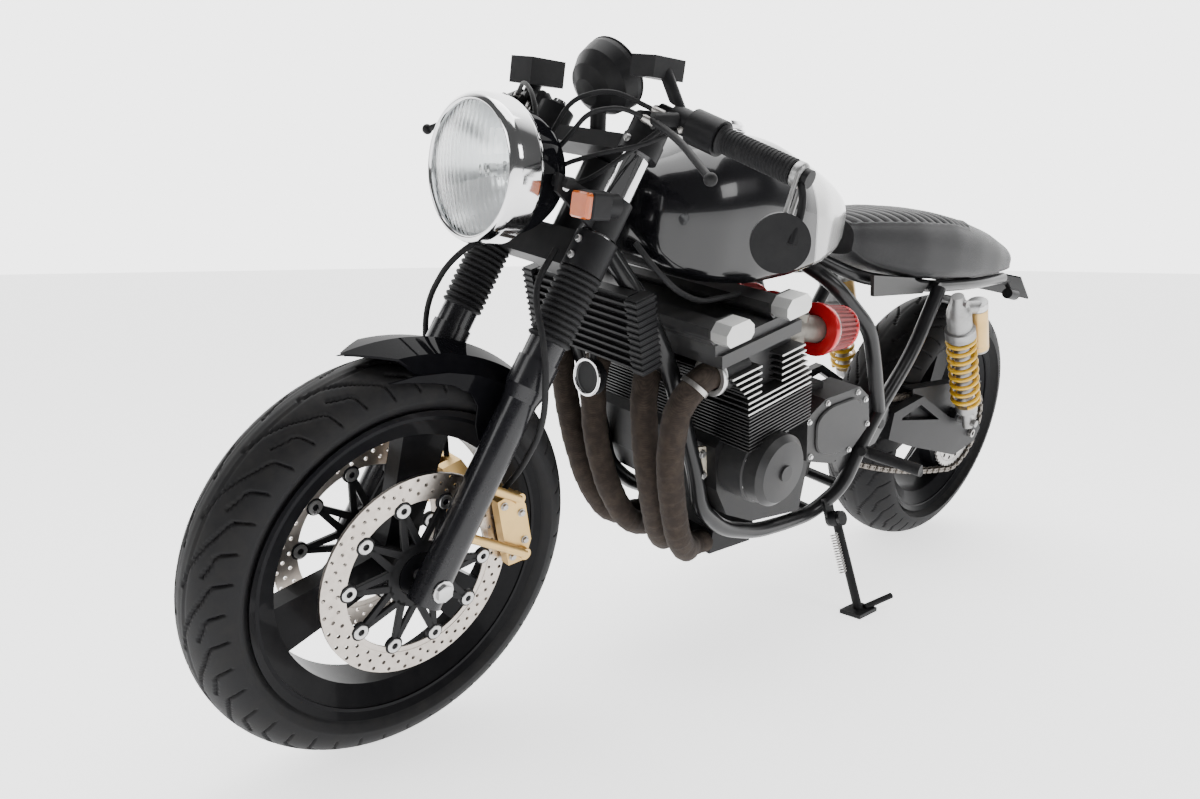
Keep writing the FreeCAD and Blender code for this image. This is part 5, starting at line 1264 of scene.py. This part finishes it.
SKIRT_EDGE = [(290, 77), (290, 85), (290, 95), (290, 105), (290, 115), (290, 127), (262, 127), (228, 124),
              (205, 121), (202, 114), (221, 110), (247, 108), (262, 104), (271, 97), (276, 90), (283, 82)]
SKIRT_SIDES = (65.6, 68.4)
STAND_PIVOT = np.array([585.0, 162.0, 216.0])
STAND_FOOT = np.array([577.0, 249.4, 43.2])
COOLER_FOOT = (1164, 0, 573)
COOLER_LEAN = math.radians(18)
COVER_MIDDLE = np.array([700.0, 438.0])
COVER_EDGE = np.array([(806, 470), (760, 500), (650, 512), (612, 490), (586, 430), (640, 378), (700, 366),
                       (782, 384)])


def fender_skirts():
    """Flat sides inside the fork legs: their outline is given by radius and angle about the front axle."""
    polar = np.array(SKIRT_EDGE, float)
    angle = np.radians(polar[:, 1])
    outline = polar[:, :1] * np.stack([np.cos(angle), np.sin(angle)], -1)
    skirt = slab(outline, *SKIRT_SIDES, origin=FRONT_AXLE, turn=LAY, edge=0.8)
    on_fork("fender_skirts", both(skirt), "gloss", "frame_black")


def engine_mount():
    """A three-cornered plate with round corners ahead of the crankcase, and its bolts."""
    low, high = 122, 129
    corners = [(1024, 428), (962, 423), (950, 409), (992, 361), (1007, 362)]
    plate = slab(rounded(corners, reach=9, steps=5, closed=True), low, high, turn=LAY)
    on_bike("mount_plate", plate, "cream", "cam_silver")
    spots = [(1009, high, 414), (999, high, 374), (967, high, 412)]
    on_bike("mount_bolts", bolts(spots, Y_AXIS, radius=6.5, height=6.0), "alloy", "cam_silver")


def stand_spring():
    """A close coil beside the stand's leg: its middle line runs round a line ahead of the leg."""
    coils, radius, ahead = 15, 7.0, 19
    leg = STAND_FOOT - STAND_PIVOT
    share = np.linspace(0, 1, 360)
    angle = share * TAU * coils
    turn = facing(leg)[0]
    middle = STAND_PIVOT + (0.14 + 0.42 * share)[:, None] * leg + X_AXIS * ahead
    spring = swept(middle + radius * circle_in(turn, angle), radius=1.5, sides=6, reference=unit(leg))
    piece("stand_spring", spring, BIKE, "side_stand", "steel", "axle_steel")


def cooler_ribs():
    """Thin ribs round the oil cooler's end tanks, ten millimetres apart, leaning as it does."""
    sine, cosine = math.sin(COOLER_LEAN), math.cos(COOLER_LEAN)
    leant = np.array([[cosine, 0, sine], [0, 1, 0], [-sine, 0, cosine]])
    end_tank = [(-21, 108.5), (21, 108.5), (21, 134), (-21, 134)]
    ribs = [slab(end_tank, low, low + 4.5, origin=COOLER_FOOT, turn=leant,
                 edge=0.8) for low in np.arange(5, 116, 10.0)]
    on_bike("cooler_ribs", both(together(*ribs)), "satin", "cooler_black")


def cover_panel():
    """A raised panel on the sprocket cover: the cover's own outline, smaller and with round corners."""
    panel = rounded(COVER_MIDDLE + 0.76 * (COVER_EDGE - COVER_MIDDLE), reach=26, steps=6, closed=True)
    on_bike("cover_panel", slab(panel, 189, 195, turn=LAY, edge=2.5), "cover", "cover_grey")


def under_tank_cable():
    on_bike("under_tank_cable", cable(TANK_CABLE_ROUTE, radius=4.6, step=5.0), "rubber", "rubber")


COVER_FACE = 190
COVER_SPOTS = [(800, 462), (752, 492), (655, 502), (622, 484), (597, 432), (645, 386), (774, 392)]
ALTERNATOR = np.array([920.0, 199.0, 404.0])
CALIPER_ANGLE = math.radians(163)
CALIPER_SPOTS = ((168, -20), (166, 28), (141, -46), (140, 44))
HORN = (1162.0, 0, 528.0)


def fixings():
    """Bolts that show from a step away on the engine covers and the caliper lugs, and the horn's ring."""
    spots = [(x, COVER_FACE, z) for x, z in COVER_SPOTS]
    on_bike("cover_bolts", bolts(spots, Y_AXIS, radius=4.5, height=5.0), "bright", "cam_silver")
    out, along = on_circle(1.0, np.array([CALIPER_ANGLE, CALIPER_ANGLE + TAU / 4]))
    spots = [FRONT_AXLE + out * r + along * t + Y_AXIS * 93 for r, t in CALIPER_SPOTS]
    on_fork("caliper_bolts", both(bolts(spots, Y_AXIS, radius=5.0, height=5.0)), "steel", "chrome")
    ring = rounded([(26, 8), (31.5, 8), (32, 10), (31, 12.5), (27, 12.5), (26, 10)], reach=1, steps=4,
                   closed=True)
    on_bike("horn_ring", turned(ring, HORN, X_AXIS, sides=48, ring=True), "chrome", "chrome")
    spots = ALTERNATOR + on_circle(60, np.arange(8) * TAU / 8 + 0.3)
    on_bike("alternator_bolts", bolts(spots, Y_AXIS, radius=4.0, height=4.0), "bright", "cam_silver")


# The order of work


dress("wheel", "front_rim", "rear_rim")
dress("frame", "main_frame", "seat_frame")
dress("satin", "swingarm", "plate_holder", "stand_leg", "oil_cooler", "levers", "switchgear", "handlebars")
dress("gloss", "front_fender")
dress("satin", "gauge", "mirror")
dress("case", "crankcase")
dress("fin", "cylinder_block")
dress("cam", "cam_cover")
dress("alloy", "shock_bodies")
dress("cover", "engine_covers")
dress("carb", "carburettors")
dress("satin", "silencer", "fork_clamps", "lamp_brackets")
dress("slider", "fork_sliders")
dress("chrome", "fork_tubes", "fuel_cap")
dress("steel", "front_axle", "rear_axle")
dress("gold", "front_calipers")
dress("rubber", "brake_hoses", "footrests")
dress("panel", "side_covers")

wheels()
drive()
exhaust()
filters()
tank()
fork_dress()
shocks()
seat()
lamp()
signals()
cockpit()
cables()
fender_skirts()
engine_mount()
stand_spring()
cooler_ribs()
cover_panel()
under_tank_cable()
fixings()


# Studio


FLOOR_HALF = 30.0
FLOOR_COLOUR = (0.85, 0.85, 0.85, 1.0)
FLOOR_GLOW = 1.7
WHITE = (1.0, 1.0, 1.0, 1.0)
SKY_MIDDLE = (-0.683, -0.731, 0.12)
SKY_BEHIND = 4.0
SKY_BESIDE = 0.12
SOFT_BOXES = (
    ("box_above", (0.2, 0.2, 3.2), (0, 0, 0.4), 2.4, 60.0),
    ("box_left", (-0.8, 3.4, 2.2), (0, 0, 0.5), 1.6, 34.0),
    ("box_front", (3.8, -0.6, 2.0), (0, 0, 0.5), 1.4, 24.0),
)
VIEW_PLACE = (1.4058, 1.0236, 0.7256)
VIEW_AHEAD = (-0.67338, -0.72118, -0.16267)
VIEW_LENS = 27.378


def set_up(name, data, place, ahead):
    """A camera or a light at a place, looking ahead."""
    made = bpy.data.objects.new(name, data)
    made.location = place
    made.rotation_euler = Vector(ahead).to_track_quat("-Z", "Y").to_euler()
    bpy.context.scene.collection.objects.link(made)
    return made


def pale_floor():
    """A wide plain floor that glows a little, so that it stays pale."""
    half = FLOOR_HALF
    mesh = bpy.data.meshes.new("studio_floor")
    corners = [(-half, -half, 0), (half, -half, 0), (half, half, 0), (-half, half, 0)]
    mesh.from_pydata(corners, [], [(0, 1, 2, 3)])
    floor = bpy.data.objects.new("studio_floor", mesh)
    bpy.context.scene.collection.objects.link(floor)
    pale = bpy.data.materials.new("pale_floor")
    pale.use_nodes = True
    shader = pale.node_tree.nodes["Principled BSDF"]
    shader.inputs["Base Color"].default_value = FLOOR_COLOUR
    shader.inputs["Roughness"].default_value = 0.9
    shader.inputs["Emission Color"].default_value = WHITE
    shader.inputs["Emission Strength"].default_value = FLOOR_GLOW
    mesh.materials.append(pale)


def soft_sky():
    """White sky, bright behind the bike and dim on the camera's side."""
    world = bpy.data.worlds.new("studio_sky")
    bpy.context.scene.world = world
    world.use_nodes = True
    sky = world.node_tree
    background = sky.nodes["Background"]
    background.inputs["Color"].default_value = WHITE
    direction = node(sky, "ShaderNodeTexCoord").outputs["Generated"]
    share = share_along(sky, direction, SKY_MIDDLE)
    strength = ranged(sky, share, 0.2, 0.6, SKY_BESIDE, SKY_BEHIND)
    sky.links.new(strength, background.inputs["Strength"])


def studio():
    """The floor, the sky, three soft boxes and the camera where the picture was taken."""
    pale_floor()
    soft_sky()
    for name, place, target, size, power in SOFT_BOXES:
        light = bpy.data.lights.new(name, "AREA")
        light.shape = "RECTANGLE"
        light.size = size
        light.size_y = size * 0.7
        light.energy = power
        set_up(name, light, place, Vector(target) - Vector(place))
    camera = bpy.data.cameras.new("camera")
    camera.sensor_width = 36.0
    camera.lens = VIEW_LENS
    bpy.context.scene.camera = set_up("camera", camera, VIEW_PLACE, VIEW_AHEAD)


studio()
